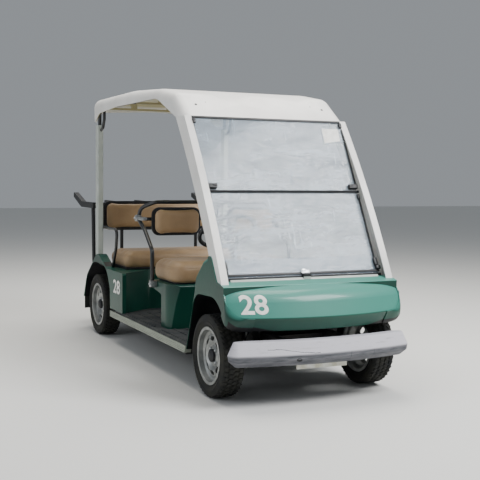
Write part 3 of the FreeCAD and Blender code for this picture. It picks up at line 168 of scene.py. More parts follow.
def weathered(key, name, colour, patches=None, relief=None, **sockets):
    """A finish with soft patches, or fine relief, or both."""
    _, shader, place = finish(key, name, colour, **sockets)
    if patches:
        mottle(shader, place, *patches)
    if relief:
        grain(shader, place, *relief)


# %% [markdown]
# ## Moulded body panels
# The cowl and the rear body are thick moulded plastic, coloured right through and then lacquered.
# Lacquer gives a sharp reflection over a deep colour, so the shader has a clear coat. Faces that
# look up, most of all on the nose, are painted a lighter teal: a painted reflection of the sky.
# Inside the wheel arches the colour is painted near black with no coat, a painted shade. That is a
# place on the object and not a piece of its own, so a mask is worked out from the distance to each axle.

# %% Body plastic
COAT = 0.3
AXLE_Z = 0.244
ARCH_TOP = 0.603
ARCHES = (
    # axle y, reach of the painted shade, middle of its width on x, half its width
    (-1.310, 0.385, 0.42975, 0.13975),
    (1.025, 0.410, 0.47975, 0.08975),
)

tree, shader, place = finish(
    "body", "green_lacquered_body_plastic", "04392e", Roughness=0.45, Specular_IOR_Level=0.3,
    Coat_Weight=COAT, Coat_Roughness=0.14)
base = mottle(shader, place, "03372d", "074a3b", 2.2)
grain(shader, place, 30.0, 0.0006)
own = add(tree, "ShaderNodeSeparateXYZ", {"Vector": place}).outputs
facing = add(tree, "ShaderNodeSeparateXYZ", {"Vector": place.node.outputs["Normal"]}).outputs
# Upward faces, most of all on the nose, are painted a lighter teal: a painted reflection of the sky.
skyward = add(tree, "ShaderNodeMapRange", {"Value": facing["Z"], "From Min": 0.06, "From Max": 0.42})
ahead = add(tree, "ShaderNodeMapRange", {
    "Value": own["Y"], "From Min": -0.95, "From Max": -1.15, "To Min": 0.12, "To Max": 0.85})
painted_sky_share = add(tree, "ShaderNodeMath", {0: skyward, 1: ahead}, operation="MULTIPLY")
painted_sky_reflection = add(tree, "ShaderNodeMix", {0: painted_sky_share, 6: base, 7: linear("479183")}, data_type="RGBA")

# Inside the arches the colour is painted near black with no coat: painted shade for their dark.
side_on = add(tree, "ShaderNodeVectorMath", {0: place, 1: (0.0, 1.0, 1.0)}, operation="MULTIPLY")
out_x = add(tree, "ShaderNodeMath", {0: own["X"]}, operation="ABSOLUTE")
arch = 0.0
for axle_y, reach, middle_x, half_x in ARCHES:
    away = add(tree, "ShaderNodeVectorMath", {0: side_on, 1: (0.0, axle_y, AXLE_Z)}, operation="DISTANCE")
    near = add(tree, "ShaderNodeMath", {0: away, 1: reach}, operation="LESS_THAN")
    within = add(tree, "ShaderNodeMath", {0: out_x, 1: middle_x, 2: half_x}, operation="COMPARE")
    both = add(tree, "ShaderNodeMath", {0: near, 1: within}, operation="MULTIPLY")
    arch = add(tree, "ShaderNodeMath", {0: arch, 1: both}, operation="MAXIMUM")
below = add(tree, "ShaderNodeMath", {0: own["Z"], 1: ARCH_TOP}, operation="LESS_THAN")
painted_arch_shade = add(tree, "ShaderNodeMath", {0: arch, 1: below}, operation="MULTIPLY")
with_arch_shade = add(tree, "ShaderNodeMix", {0: painted_arch_shade, 6: painted_sky_reflection, 7: linear("0b0d10")}, data_type="RGBA")
feed(shader, "Base Color", with_arch_shade)
outside_arch_shade = add(tree, "ShaderNodeMath", {0: 1.0, 1: painted_arch_shade}, operation="SUBTRACT")
feed(shader, "Coat Weight", add(tree, "ShaderNodeMath", {0: outside_arch_shade, 1: COAT}, operation="MULTIPLY"))
print("arch_shade_paint in", len(ARCHES), "pairs of arches")

# %% [markdown]
# ## Roof, pillars and posts
# The roof and front pillars are white moulded plastic that has weathered to a chalky off-white, so
# it is rougher than the body and a little stained. Under the roof it is painted beige: painted shade
# with a warm light reflected from below. The rear posts are painted steel tube, and the dash is a
# matt moulding with a fine pressed grain.

# %% White and grey finishes
UNDERSIDE_SHADE_FOOT = 1.725

tree, shader, place = finish(
    "roof", "chalky_white_roof_plastic", "e9e7e3", Roughness=0.45, Coat_Weight=0.15)
base = mottle(shader, place, "e0deda", "efeeeb", 3.5)
grain(shader, place, 220.0, 0.0001)
own = add(tree, "ShaderNodeSeparateXYZ", {"Vector": place}).outputs
facing = add(tree, "ShaderNodeSeparateXYZ", {"Vector": place.node.outputs["Normal"]}).outputs
# Faces that look down under the roof are painted beige: painted shade and reflected light.
under = add(tree, "ShaderNodeMapRange", {"Value": facing["Z"], "From Min": -0.35, "From Max": -0.7})
above = add(tree, "ShaderNodeMath", {0: own["Z"], 1: UNDERSIDE_SHADE_FOOT}, operation="GREATER_THAN")
underside_shade = add(tree, "ShaderNodeMath", {0: under, 1: above}, operation="MULTIPLY")
painted_underside_shade = add(tree, "ShaderNodeMix", {0: underside_shade, 6: base, 7: linear("b3ab84")}, data_type="RGBA")
feed(shader, "Base Color", painted_underside_shade)

weathered("post", "grey_painted_post_steel", "b9c0b9", ("b1b8b0", "c0c6c0", 7.0),
          Roughness=0.42, Coat_Weight=0.2)
weathered("dash", "blue_grey_dash_plastic", "93a0ae", ("8a96a4", "9aa8b6", 6.0), (900.0, 0.0002),
          Roughness=0.55)
print("finishes so far:", ", ".join(FINISH))

# %% [markdown]
# ## Bumper
# The bumper is grey polyurethane that has scraped along walls and kerbs. Its lower face is painted
# dark: mostly painted shade, since it faces the ground, with rubbed-in dirt varying along it. Height
# on the object tells one face from the other, and stretched noise gives the dirt and long scrapes. A
# crack has opened along the crease on the right, and two moulding lines cross the lower face: each
# is where a coordinate comes close to a line.

# %% Bumper plastic
CRACK_X = (-0.380, -0.070)
CRACK_Z = (0.338, 0.310)
CRACK_WANDER = 0.014
CRACK_HALF_WIDTH = 0.0013
MOULD_LINES_X = (0.135, 0.296)
MOULD_LINE_HALF_WIDTH = 0.0012

tree, shader, place = finish("bumper", "scuffed_grey_bumper_polyurethane", "bdbbc3", Roughness=0.6)
own = add(tree, "ShaderNodeSeparateXYZ", {"Vector": place}).outputs
# The lower face is painted dark: painted shade, as it faces down, with dirt varying along it.
lower_face = add(tree, "ShaderNodeMapRange", {"Value": own["Z"], "From Min": 0.309, "From Max": 0.296})
long_way = add(tree, "ShaderNodeMapping", {"Vector": place, "Scale": (4.0, 4.0, 40.0)})
scrape = add(tree, "ShaderNodeTexNoise", {"Vector": long_way, "Scale": 1.6, "Detail": 8.0, "Roughness": 0.7})
shade_and_dirt = add(tree, "ShaderNodeMapRange", {
    "Value": scrape, "From Min": 0.3, "From Max": 0.68, "To Min": 0.70, "To Max": 1.0})
rubbed = add(tree, "ShaderNodeMapRange", {"Value": scrape, "From Min": 0.56, "From Max": 0.8, "To Max": 0.5})
lower_face_shade = add(tree, "ShaderNodeMath", {0: shade_and_dirt, 1: lower_face}, operation="MULTIPLY")
dark = add(tree, "ShaderNodeMath", {0: lower_face_shade, 1: rubbed}, operation="MAXIMUM")
base = add(tree, "ShaderNodeMix", {0: dark, 6: linear("c6c4cc"), 7: linear("2c3138")}, data_type="RGBA")

crack_z = add(tree, "ShaderNodeMapRange", {
    "Value": own["X"], "From Min": CRACK_X[0], "From Max": CRACK_X[1],
    "To Min": CRACK_Z[0] - CRACK_WANDER / 2, "To Max": CRACK_Z[1] - CRACK_WANDER / 2},
    interpolation_type="SMOOTHSTEP")
wander = add(tree, "ShaderNodeTexNoise", {"Vector": place, "Scale": 22.0, "Detail": 3.0})
path_z = add(tree, "ShaderNodeMath", {0: wander, 1: CRACK_WANDER, 2: crack_z}, operation="MULTIPLY_ADD")
near = add(tree, "ShaderNodeMath", {
    0: own["Z"], 1: path_z, 2: CRACK_HALF_WIDTH}, operation="COMPARE")
along = add(tree, "ShaderNodeMath", {
    0: own["X"], 1: sum(CRACK_X) / 2, 2: (CRACK_X[1] - CRACK_X[0]) / 2}, operation="COMPARE")
lines = add(tree, "ShaderNodeMath", {0: near, 1: along}, operation="MULTIPLY")
for line_x in MOULD_LINES_X:
    line = add(tree, "ShaderNodeMath", {
        0: own["X"], 1: line_x, 2: MOULD_LINE_HALF_WIDTH}, operation="COMPARE")
    line = add(tree, "ShaderNodeMath", {0: line, 1: lower_face}, operation="MULTIPLY")
    lines = add(tree, "ShaderNodeMath", {0: lines, 1: line}, operation="MAXIMUM")
worn = add(tree, "ShaderNodeMix", {0: lines, 6: base, 7: linear("33373d")}, data_type="RGBA")
feed(shader, "Base Color", worn)
grain(shader, place, 160.0, 0.0006)
print("bumper crack", round(CRACK_X[1] - CRACK_X[0], 3), "m long")

# %% [markdown]
# ## Metals
# The wheels are pressed steel sprayed silver: metal flake in lacquer, so nearly metallic with soft
# highlights. Tubes are black enamel, bright where they catch the light. Between the posts the bars
# across the roof are painted the beige of the roof's underside: painted shade and reflected light.
# The sill is extruded aluminium that has gone dull, drawn out along its length. Chassis parts are
# plain black paint with road dust, and small fittings are zinc plated.

# %% Metal finishes
SHADED_BARS_HALF = 0.50

weathered("wheel", "silver_sprayed_wheel_steel", "a3a5a3", ("8b8d8b", "adafad", 14.0),
          Metallic=0.75, Roughness=0.42)
weathered("tube", "black_enamelled_tube", "0e1013", relief=(90.0, 0.0001), Roughness=0.3, Coat_Weight=0.5)
weathered("chassis", "dusty_black_chassis_paint", "15171a", ("121417", "2a2926", 5.0), Roughness=0.65)
weathered("zinc", "zinc_plated_steel", "b5b7b8", ("a4a6a8", "c0c2c3", 60.0), Metallic=1.0, Roughness=0.35)

# Between the posts the bars are painted beige: painted shade and reflected light, as under the roof.
tree, shader, place = finish("roof_bars", "roof_bar_enamel", "0e1013", Roughness=0.35, Coat_Weight=0.4)
own = add(tree, "ShaderNodeSeparateXYZ", {"Vector": place}).outputs
out_x = add(tree, "ShaderNodeMath", {0: own["X"]}, operation="ABSOLUTE")
middle = add(tree, "ShaderNodeMath", {0: out_x, 1: SHADED_BARS_HALF}, operation="LESS_THAN")
painted = add(tree, "ShaderNodeMix", {0: middle, 6: linear("0e1013"), 7: linear("a39b77")}, data_type="RGBA")
feed(shader, "Base Color", painted)
grain(shader, place, 90.0, 0.0001)

tree, shader, place = finish("sill", "dull_extruded_aluminium", "a9b0a3", Metallic=0.6, Roughness=0.5)
drawn_out = add(tree, "ShaderNodeMapping", {"Vector": place, "Scale": (60.0, 1.0, 60.0)})
mottle(shader, drawn_out, "9aa194", "b6bcb0", 6.0)
print("finishes so far:", ", ".join(FINISH))

# %% [markdown]
# ## Rubber, trim and vinyl
# Tyre rubber scatters light and holds pale dust. Black trim is satin plastic. The seats are tan
# vinyl with a pressed leather grain: the real cells are about 1.5 mm, drawn here at 5 mm so that
# they show, with a faint sheen where light grazes the cover. Numbers are cut from white film, and
# the plate is enamelled steel.

# %% Rubber, trim and vinyl
weathered("tyre", "tyre_rubber", "17191b", ("141618", "26261f", 9.0), (400.0, 0.0003), Roughness=0.82)
weathered("trim", "black_satin_trim_plastic", "16181c", relief=(500.0, 0.0001), Roughness=0.5)
weathered("mat", "dark_rubber_floor_mat", "34383d", ("2c3034", "4a4c4b", 7.0), (300.0, 0.0004),
          Roughness=0.85)
weathered("vinyl", "tan_seat_vinyl", "9f8260", ("967a59", "ab8e6a", 5.0),
          (200.0, 0.0004, "ShaderNodeTexVoronoi"), Roughness=0.46, Sheen_Weight=0.15, Sheen_Roughness=0.4)
weathered("decal", "white_film_decal", "f2f1ec", ("e4e3dd", "f7f6f2", 30.0), Roughness=0.5)
weathered("plate", "blank_white_plate_steel", "e6e5dc", ("cfccb8", "edece6", 18.0), Roughness=0.45)
print("finishes so far:", ", ".join(FINISH))

# %% [markdown]
# ## Windshield
# The panes are clear acrylic, which scratches and goes milky. A thin pane hardly bends what is
# behind it, so it is drawn as a haze that covers part of the view and lets the rest through: its
# alpha. Wiped smears make the haze uneven, and fine scratches are stretched noise cut sharply.

# %% Windshield acrylic
tree, shader, place = finish("acrylic", "scratched_clear_acrylic", "b4c4d2", Roughness=0.1, IOR=1.49)
wiped = add(tree, "ShaderNodeMapping", {
    "Vector": place, "Scale": (3.0, 9.0, 9.0), "Rotation": (0.0, 0.5, 0.0)})
smear = add(tree, "ShaderNodeTexNoise", {"Vector": wiped, "Scale": 1.2, "Detail": 9.0, "Roughness": 0.72})
rough = add(tree, "ShaderNodeMapRange", {
    "Value": smear, "From Min": 0.35, "From Max": 0.7, "To Min": 0.05, "To Max": 0.22})
feed(shader, "Roughness", rough)
haze = add(tree, "ShaderNodeMapRange", {
    "Value": smear, "From Min": 0.36, "From Max": 0.68, "To Min": 0.20, "To Max": 0.52})
swept = add(tree, "ShaderNodeMapping", {
    "Vector": place, "Scale": (60.0, 5.0, 5.0), "Rotation": (0.0, 0.9, 0.0)})
hair = add(tree, "ShaderNodeTexNoise", {"Vector": swept, "Scale": 1.0, "Detail": 5.0})
scratch = add(tree, "ShaderNodeMapRange", {"Value": hair, "From Min": 0.66, "From Max": 0.70, "To Max": 0.3})
feed(shader, "Alpha", add(tree, "ShaderNodeMath", {0: haze, 1: scratch}, operation="ADD"))
print("acrylic covers between a fifth and a half of the view")

# %% [markdown]
# ## Finishes on the frame's own pieces
# A CAD piece keeps its mesh and only gets a better material. One table says which finish each
# piece has, by the start of its name.

# %% Dress the CAD pieces
WEARS = {
    "rim": "wheel", "tyre": "tyre", "front_axle": "chassis", "knuckle": "chassis", "tie_rod": "chassis",
    "steering_column": "chassis", "steering_wheel": "trim", "chassis_frame": "chassis", "floor": "mat",
    "sills": "sill", "rear_axle": "chassis", "rear_springs": "chassis", "front_dampers": "chassis",
    "motor": "chassis", "front_cowl": "body", "front_bumper": "bumper", "number_plate": "plate",
    "screen_lower": "acrylic", "screen_upper": "acrylic", "screen_strips": "trim", "roof": "roof",
    "roof_frame": "roof_bars", "front_pillars": "roof", "rear_posts": "post", "rear_body": "body",
    "mudflaps": "tyre", "bag_well": "trim", "rear_bumper": "bumper", "bag_rack": "trim",
    "front_seat_base": "body", "front_cushion": "vinyl", "rear_cushion": "vinyl",
    "front_backrests": "vinyl", "rear_backrest": "vinyl", "front_seat_frame": "tube",
    "rear_seat_frame": "tube", "arm_loops": "tube", "dash": "dash", "pedals": "trim",
}


def dress(piece, key):
    piece.data.materials.clear()
    piece.data.materials.append(FINISH[key])


for node, piece in NODES.items():
    stem = max((start for start in WEARS if node.startswith(start)), key=len)
    dress(piece, WEARS[stem])
print("dressed", len(NODES), "CAD pieces")

# %% [markdown]
# ## Helpers that keep a piece
# Every new piece is a mesh in the cart's own coordinates, so its object stays at the origin. A
# bmesh is filled, its normals are set to point outwards, and it is linked with its finish and its
# body in one call.

# %% Helpers for pieces
def as_mesh(name, shape):
    """A bmesh as a mesh. The bmesh goes."""
    mesh = bpy.data.meshes.new(name)
    shape.to_mesh(mesh)
    shape.free()
    return mesh


def as_bmesh(mesh):
    shape = bmesh.new()
    shape.from_mesh(mesh)
    return shape


def turn_outwards(shape):
    """Merges doubles, then points every face outwards."""
    bmesh.ops.remove_doubles(shape, verts=shape.verts, dist=1e-6)
    bmesh.ops.recalc_face_normals(shape, faces=shape.faces)


def keep_mesh(name, mesh, finish_key, body="root", smooth=35.0):
    """A finished piece. smooth is the angle in degrees over which an edge stays sharp."""
    piece = linked(name, mesh)
    dress(piece, finish_key)
    if smooth:
        mesh.shade_smooth()
        mesh.set_sharp_from_angle(angle=math.radians(smooth))
    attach(piece, body)
    print(name, "has", len(mesh.polygons), "faces and rides on", body)
    return piece


def keep_bmesh(name, shape, finish_key, body="root", smooth=35.0):
    turn_outwards(shape)
    keep_mesh(name, as_mesh(name, shape), finish_key, body, smooth)


def baked(piece):
    """The piece with its modifiers worked out, as a plain mesh. The modified object goes."""
    graph = bpy.context.evaluated_depsgraph_get()
    mesh = bpy.data.meshes.new_from_object(piece.evaluated_get(graph))
    bpy.data.objects.remove(piece)
    return mesh


# %% [markdown]
# ## Helpers that make a shape
# Four forms come back all over a cart: a block with softened edges, a part turned about an axis, a
# skin between rings of points, and an outline whose corners are rounded. A last helper looks at a
# surface along a ray, which is how a part finds the panel that carries it.

# %% Helpers for shapes
def block(shape, centre, size, rotation=None, bevel=0.0):
    """A box with softened edges, added to a bmesh."""
    made = bmesh.ops.create_cube(shape, size=1.0)["verts"]
    bmesh.ops.scale(shape, vec=size, verts=made)
    if bevel:
        edges = list({edge for vert in made for edge in vert.link_edges})
        made = bmesh.ops.bevel(
            shape, geom=edges, offset=bevel, segments=2, affect="EDGES", profile=0.6)["verts"]
    if rotation:
        bmesh.ops.transform(shape, matrix=rotation, verts=made)
    bmesh.ops.translate(shape, vec=centre, verts=made)


def lathe(shape, profile, matrix, steps):
    """Spins points of (radius, height) about the matrix's own Z, closed where radius is 0."""
    rings = []
    for radius, height in profile:
        if radius == 0:
            rings.append([shape.verts.new(matrix @ Vector((0, 0, height)))] * steps)
            continue
        turns = [2 * math.pi * i / steps for i in range(steps)]
        points = [Vector((radius * math.cos(turn), radius * math.sin(turn), height)) for turn in turns]
        rings.append([shape.verts.new(matrix @ point) for point in points])
    for one, two in zip(rings, rings[1:]):
        for i in range(steps):
            j = (i + 1) % steps
            corners = [one[i], one[j], two[j], two[i]]
            corners = [v for k, v in enumerate(corners) if v not in corners[:k]]
            if len(corners) > 2:
                shape.faces.new(corners)


def bridge(shape, rings, closed=True):
    """A skin over rings of points, capped at both ends, or over open rows of points."""
    rings = [[shape.verts.new(point) for point in ring] for ring in rings]
    count = len(rings[0])
    for one, two in zip(rings, rings[1:]):
        for i in range(count if closed else count - 1):
            j = (i + 1) % count
            shape.faces.new((one[i], one[j], two[j], two[i]))
    if closed:
        shape.faces.new(rings[0])
        shape.faces.new(list(reversed(rings[-1])))


def rounded(corners, steps=6):
    """Open outline through corners of (u, v, radius), each corner with a radius turned into an arc."""
    made = []
    for k, (u, v, radius) in enumerate(corners):
        point = Vector((u, v))
        if radius == 0:
            made.append(point)
            continue
        before = (Vector(corners[k - 1][:2]) - point).normalized()
        after = (Vector(corners[k + 1][:2]) - point).normalized()
        half = before.angle(after) / 2
        centre = point + (before + after).normalized() * (radius / math.sin(half))
        start = point + before * (radius / math.tan(half)) - centre
        end = point + after * (radius / math.tan(half)) - centre
        made += [centre + start.lerp(end, i / steps).normalized() * radius for i in range(steps + 1)]
    return made


def pointing(direction, place):
    """Matrix whose Z looks along the direction, standing at the place."""
    return Matrix.Translation(place) @ Vector(direction).to_track_quat("Z", "Y").to_matrix().to_4x4()


def surface_of(mesh):
    """A mesh that rays can be cast at."""
    return BVHTree.FromPolygons([v.co for v in mesh.vertices], [p.vertices for p in mesh.polygons])


def wall_of(name, rows, finish_key, thickness, smooth=35.0):
    """A wall through rows of points. Its thickness lies behind the face that the rows turn outwards."""
    shape = bmesh.new()
    bridge(shape, rows, closed=False)
    bmesh.ops.remove_doubles(shape, verts=shape.verts, dist=1e-5)
    piece = linked(name, as_mesh(name, shape))
    wall = piece.modifiers.new("wall", "SOLIDIFY")
    wall.thickness = thickness
    wall.offset = -1.0
    return keep_mesh(name, baked(piece), finish_key, smooth=smooth)


# %% [markdown]
# ## Front bumper
# The bumper is one moulding: a section with a crease along its nose, swept round a shallow plan
# arc, whose ends turn back in a full-height round. Every point of the section is some way behind
# the nose, so its path is the same plan drawn in by that much, and the ends come out evenly
# rounded. The grid of points then gets its wall, open behind as a moulding is.

# %% Front bumper
BUMPER_LOW, BUMPER_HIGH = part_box("front_bumper")
BUMPER_ARC = 2.300
BUMPER_END = 0.060
BUMPER_WALL = 0.006
END_STEPS = 8
ARC_STEPS = 24
SECTION = rounded([
    # behind the nose, z, corner
    (0.078, 0.380, 0),
    (0.034, 0.378, 0.014),
    (0.0, 0.306, 0.009),
    (0.004, 0.272, 0.012),
    (0.046, 0.236, 0.014),
    (0.078, 0.238, 0),
])


def bumper_path(behind, height):
    """Points from the left end to the right one, drawn in by the section's distance behind the nose."""
    end_x = BUMPER_HIGH.x - behind
    radius = max(BUMPER_END - behind, 0.003)
    arc = BUMPER_ARC - behind
    centre_y = BUMPER_LOW.y + BUMPER_ARC
    turn_x = end_x - radius
    turn_y = centre_y - math.sqrt((arc - radius) ** 2 - turn_x ** 2)
    join = math.atan2(turn_x, centre_y - turn_y)
    half = [(end_x, BUMPER_HIGH.y)]
    for i in range(END_STEPS + 1):
        angle = math.pi / 2 + (join - math.pi / 2) * i / END_STEPS
        half.append((turn_x + radius * math.sin(angle), turn_y - radius * math.cos(angle)))
    for i in range(1, ARC_STEPS):
        angle = join * (1 - i / ARC_STEPS)
        half.append((arc * math.sin(angle), centre_y - arc * math.cos(angle)))
    points = half + [(0.0, centre_y - arc)] + [(-x, y) for x, y in reversed(half)]
    return [Vector((x, min(y, BUMPER_HIGH.y), height)) for x, y in points]


rows = [bumper_path(behind, z) for behind, z in SECTION]
piece = wall_of("front_bumper_skin", rows, "bumper", BUMPER_WALL)
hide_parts("front_bumper")

# %% [markdown]
# A black plug closes a bolt hole in the lower face. It is a turned disc with a dished middle, set
# square to the face and flattened to the hole's oval.

# %% Bumper plug
PLUG_X, PLUG_Z = -0.197, 0.274
PLUG_BEHIND = 0.004
PLUG_FACES = (-0.08, -1, -0.1)
PLUG_OVAL = Matrix.Diagonal((1.0, 0.62, 1.0, 1.0))
PLUG = [
    # radius, height over the face
    (0, 0.0012), (0.012, 0.0012), (0.0135, 0.003), (0.0155, 0.003), (0.017, 0.001), (0.017, -0.004),
    (0, -0.004)]

plug_y = BUMPER_LOW.y + BUMPER_ARC - math.sqrt((BUMPER_ARC - PLUG_BEHIND) ** 2 - PLUG_X ** 2) + 0.001
shape = bmesh.new()
lathe(shape, PLUG, pointing(PLUG_FACES, (PLUG_X, plug_y, PLUG_Z)) @ PLUG_OVAL, 28)
keep_bmesh("bumper_plug", shape, "trim")

# %% [markdown]
# ## Nose corners
# Below the hood's rounded lower corners the deep green band turns round the corner of the cart
# into the wing, up to the edge of the wheel arch. It is a strip between two curves: the hood's
# corner arc, and the lower edge that runs into the arch. Each crossing line is pushed outwards,
# so that the corner is round in plan.

# %% Nose corners
BAND_TOP = 0.502
BAND_DROP = 0.0735
CORNER_X = 0.5749
CORNER_WALL = 0.004
DOWN_STEPS = 8
ROUND_STEPS = 18
BULGE = Vector((0.62, -0.66, -0.42)) * 0.020
BULGE_RUN = 1.15
BULGE_FULLNESS = 0.8
PROUD = 0.0022
TUCK_X, TUCK_Z = 0.004, 0.006
TOP_PROUD, TOP_RISE = 0.0012, 0.003
CORNER_UP = rounded([(0.432, BAND_TOP, 0), (0.5748, BAND_TOP, 0.108), (0.5748, 0.603, 0)], 10)
CORNER_DOWN = [
    # x, y, z along the lower edge, from the front into the arch
    (0.432, -1.616, 0.4275),
    (0.490, -1.600, 0.429),
    (0.530, -1.586, 0.434),
    (0.556, -1.573, 0.445),
    (0.570, -1.560, 0.462),
    (0.5735, -1.541, 0.486),
    (0.5744, -1.522, 0.512),
]
hood = surface_of(NODES["front_cowl"].data)


def hood_y(x, z):
    """Where the hood's front face lies."""
    return hood.ray_cast(Vector((x, -2.0, z)), Vector((0, 1, 0)))[0].y


def along_points(points, share):
    """Point part of the way along a run of points."""
    reached = share * (len(points) - 1)
    k = min(int(reached), len(points) - 2)
    return Vector(points[k]).lerp(Vector(points[k + 1]), reached - k)


BAND = [hood_y(CORNER_UP[0].x, BAND_TOP - BAND_DROP * i / DOWN_STEPS) for i in range(DOWN_STEPS + 1)]


def corner_row(side, share):
    """Points down one crossing line. share runs from the front of the band, 0, to the arch, 1."""
    x, z = along_points(CORNER_UP, share)
    touched_y = hood_y(side * (x - TUCK_X), z + TUCK_Z)
    top = Vector((x, touched_y - TOP_PROUD, z + TOP_RISE))
    chord = along_points(CORNER_DOWN, share) - top
    bulge = BULGE * math.sin(math.pi * min(share * BULGE_RUN, 1.0))
    row = []
    for i, band_y in enumerate(BAND):
        t = i / DOWN_STEPS
        swell = (band_y - (BAND[0] + (BAND[-1] - BAND[0]) * t)) * (1 - share) ** 0.5
        forwards = Vector((0, swell - PROUD * min(1.0, 4 * share), 0))
        point = top + chord * t + bulge * (4 * t * (1 - t)) ** BULGE_FULLNESS + forwards
        row.append(Vector((side * min(point.x, CORNER_X), point.y, point.z)))
    return row


for side, word in ((1, "left"), (-1, "right")):
    rows = [corner_row(side, j / ROUND_STEPS) for j in range(ROUND_STEPS + 1)]
    if side > 0:
        rows = [list(reversed(row)) for row in rows]
    wall_of("nose_corner_" + word, rows, "body", CORNER_WALL, smooth=50.0)

# %% [markdown]
# ## Roof
# The roof's rear wall is only a shallow rim between the posts: it comes down at the two corners
# and arches up between them. The frame's roof is plain there, so a merged copy of its mesh is cut
# with a Boolean by a block whose upper side has that arch, and the copy stands for it.

# %% Roof with its rear arch
ARCH_CROWN = (0.0, 1.832, 3.0)
ARCH_HALF = [
    # x, z, corner, from the foot up
    (0.556, 1.60, 0),
    (0.556, 1.716, 0),
    (0.535, 1.722, 0.02),
    (0.465, 1.806, 0.06),
]
CUT_AHEAD, CUT_BEHIND = 0.150, 0.050

shape = as_bmesh(NODES["roof"].data)
bmesh.ops.remove_doubles(shape, verts=shape.verts, dist=1e-5)
roof = linked("roof_shell", as_mesh("roof_shell", shape))

rear_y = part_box("roof")[1].y
outline = rounded([(-x, z, corner) for x, z, corner in ARCH_HALF] + [ARCH_CROWN] + ARCH_HALF[::-1])
shape = bmesh.new()
bridge(shape, [[(x, y, z) for x, z in outline] for y in (rear_y - CUT_AHEAD, rear_y + CUT_BEHIND)])
bmesh.ops.recalc_face_normals(shape, faces=shape.faces)
cutter = linked("arch_block", as_mesh("arch_block", shape))

cut = roof.modifiers.new("rear_arch", "BOOLEAN")
cut.operation = "DIFFERENCE"
cut.solver = "EXACT"
cut.object = cutter
roof_mesh = baked(roof)
bpy.data.objects.remove(cutter)
piece = keep_mesh("roof_shell", roof_mesh, "roof", smooth=30.0)
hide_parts("roof")

# %% [markdown]
# ## Under and on the roof
# Ribs run lengthwise under the skin to stiffen it, two strap handles hang at each side, and caps
# cover the bolts that hold the visor to the pillars. Ribs and handles hang from the skin, so each
# is placed by looking straight up at it.

# %% Roof ribs
RIB_X = (-0.40, -0.24, -0.08, 0.08, 0.24, 0.40)
RIB_START, RIB_RUN, RIB_STEPS = -0.30, 1.42, 24
RIB_SECTION = ((-0.020, 0.001), (-0.013, -0.008), (0.013, -0.008), (0.020, 0.001))
BELOW_SKIN_Z = 1.70
INNER = surface_of(roof_mesh)


def skin_above(x, y):
    return INNER.ray_cast(Vector((x, y, BELOW_SKIN_Z)), Vector((0, 0, 1)))[0].z


shape = bmesh.new()
for x in RIB_X:
    rings = []
    for i in range(RIB_STEPS + 1):
        y = RIB_START + i * RIB_RUN / RIB_STEPS
        z = skin_above(x, y)
        fade = 0.2 if i in (0, RIB_STEPS) else 1.0
        rings.append([(x + dx, y, z + dz * fade) for dx, dz in RIB_SECTION])
    bridge(shape, rings)
keep_bmesh("roof_ribs", shape, "roof", smooth=40.0)

# %% [markdown]
# A strap handle is a flat oval band bent into half an ellipse, with a small foot at each end.

# %% Strap handles and visor bolts
HANDLES = ((0.42, 0.79), (0.37, 0.29))
HANDLE_HALF, HANDLE_DROP = 0.055, 0.045
STRAP_HALF_WIDTH, STRAP_HALF_THICK = 0.008, 0.005
HANDLE_STEPS, STRAP_STEPS = 12, 8
HANDLE_FOOT = (0.024, 0.022, 0.010)


def strap_ring(place, angle):
    """Oval section of the strap, part of the way round its bend."""
    outward = Vector((0, math.cos(angle), -math.sin(angle)))
    centre = place + Vector((0, HANDLE_HALF * outward.y, HANDLE_DROP * outward.z))
    spins = [2 * math.pi * k / STRAP_STEPS for k in range(STRAP_STEPS)]
    return [centre + outward * STRAP_HALF_THICK * math.cos(spin)
            + Vector((1, 0, 0)) * STRAP_HALF_WIDTH * math.sin(spin) for spin in spins]


shape = bmesh.new()
for x, y in [(side * x, y) for side in (1, -1) for x, y in HANDLES]:
    place = Vector((x, y, skin_above(x, y)))
    bridge(shape, [strap_ring(place, math.pi * i / HANDLE_STEPS) for i in range(HANDLE_STEPS + 1)])
    for end in (-1, 1):
        block(shape, place + Vector((0, end * HANDLE_HALF, -0.004)), HANDLE_FOOT, bevel=0.003)
keep_bmesh("roof_strap_handles", shape, "post")

BOLT_CAPS = (
    # x, z, radius
    (0.452, 1.738, 0.009),
    (0.377, 1.757, 0.004),
)
shape = bmesh.new()
for x, z, radius in [(side * x, z, radius) for side in (1, -1) for x, z, radius in BOLT_CAPS]:
    hit, normal, _, _ = INNER.ray_cast(Vector((x, -1.2, z)), Vector((0, 1, 0)))
    dome = [(0, 0.45 * radius), (0.55 * radius, 0.40 * radius), (0.9 * radius, 0.15 * radius)]
    lathe(shape, dome + [(radius, -0.002), (0, -0.002)], pointing(normal, hit), 16)
keep_bmesh("visor_bolts", shape, "chassis")

# %% [markdown]
# ## Padded seats
# A vinyl cushion is foam in a sewn cover: its faces crown and its sides pull in between corners.
# The way to that is a cloth simulation. A rounded slab a little smaller than the real pad is
# remeshed with even voxels, blown up from inside with gravity off, and each point's travel is
# capped. Remeshing would lose a fine seam, so folds and the seam's groove are pressed in after it.

# %% Helpers for pads
VOXEL = 0.012
CLOTH_STEPS = 18
PRESSURE = 4.0
FOLDS_PER_METRE = (14, 14, 30)
FOLD_DEPTH = 0.0024
GROOVE_DEPTH, GROOVE_HALF_WIDTH = 0.0028, 0.004
UP, BACK = 2, 1


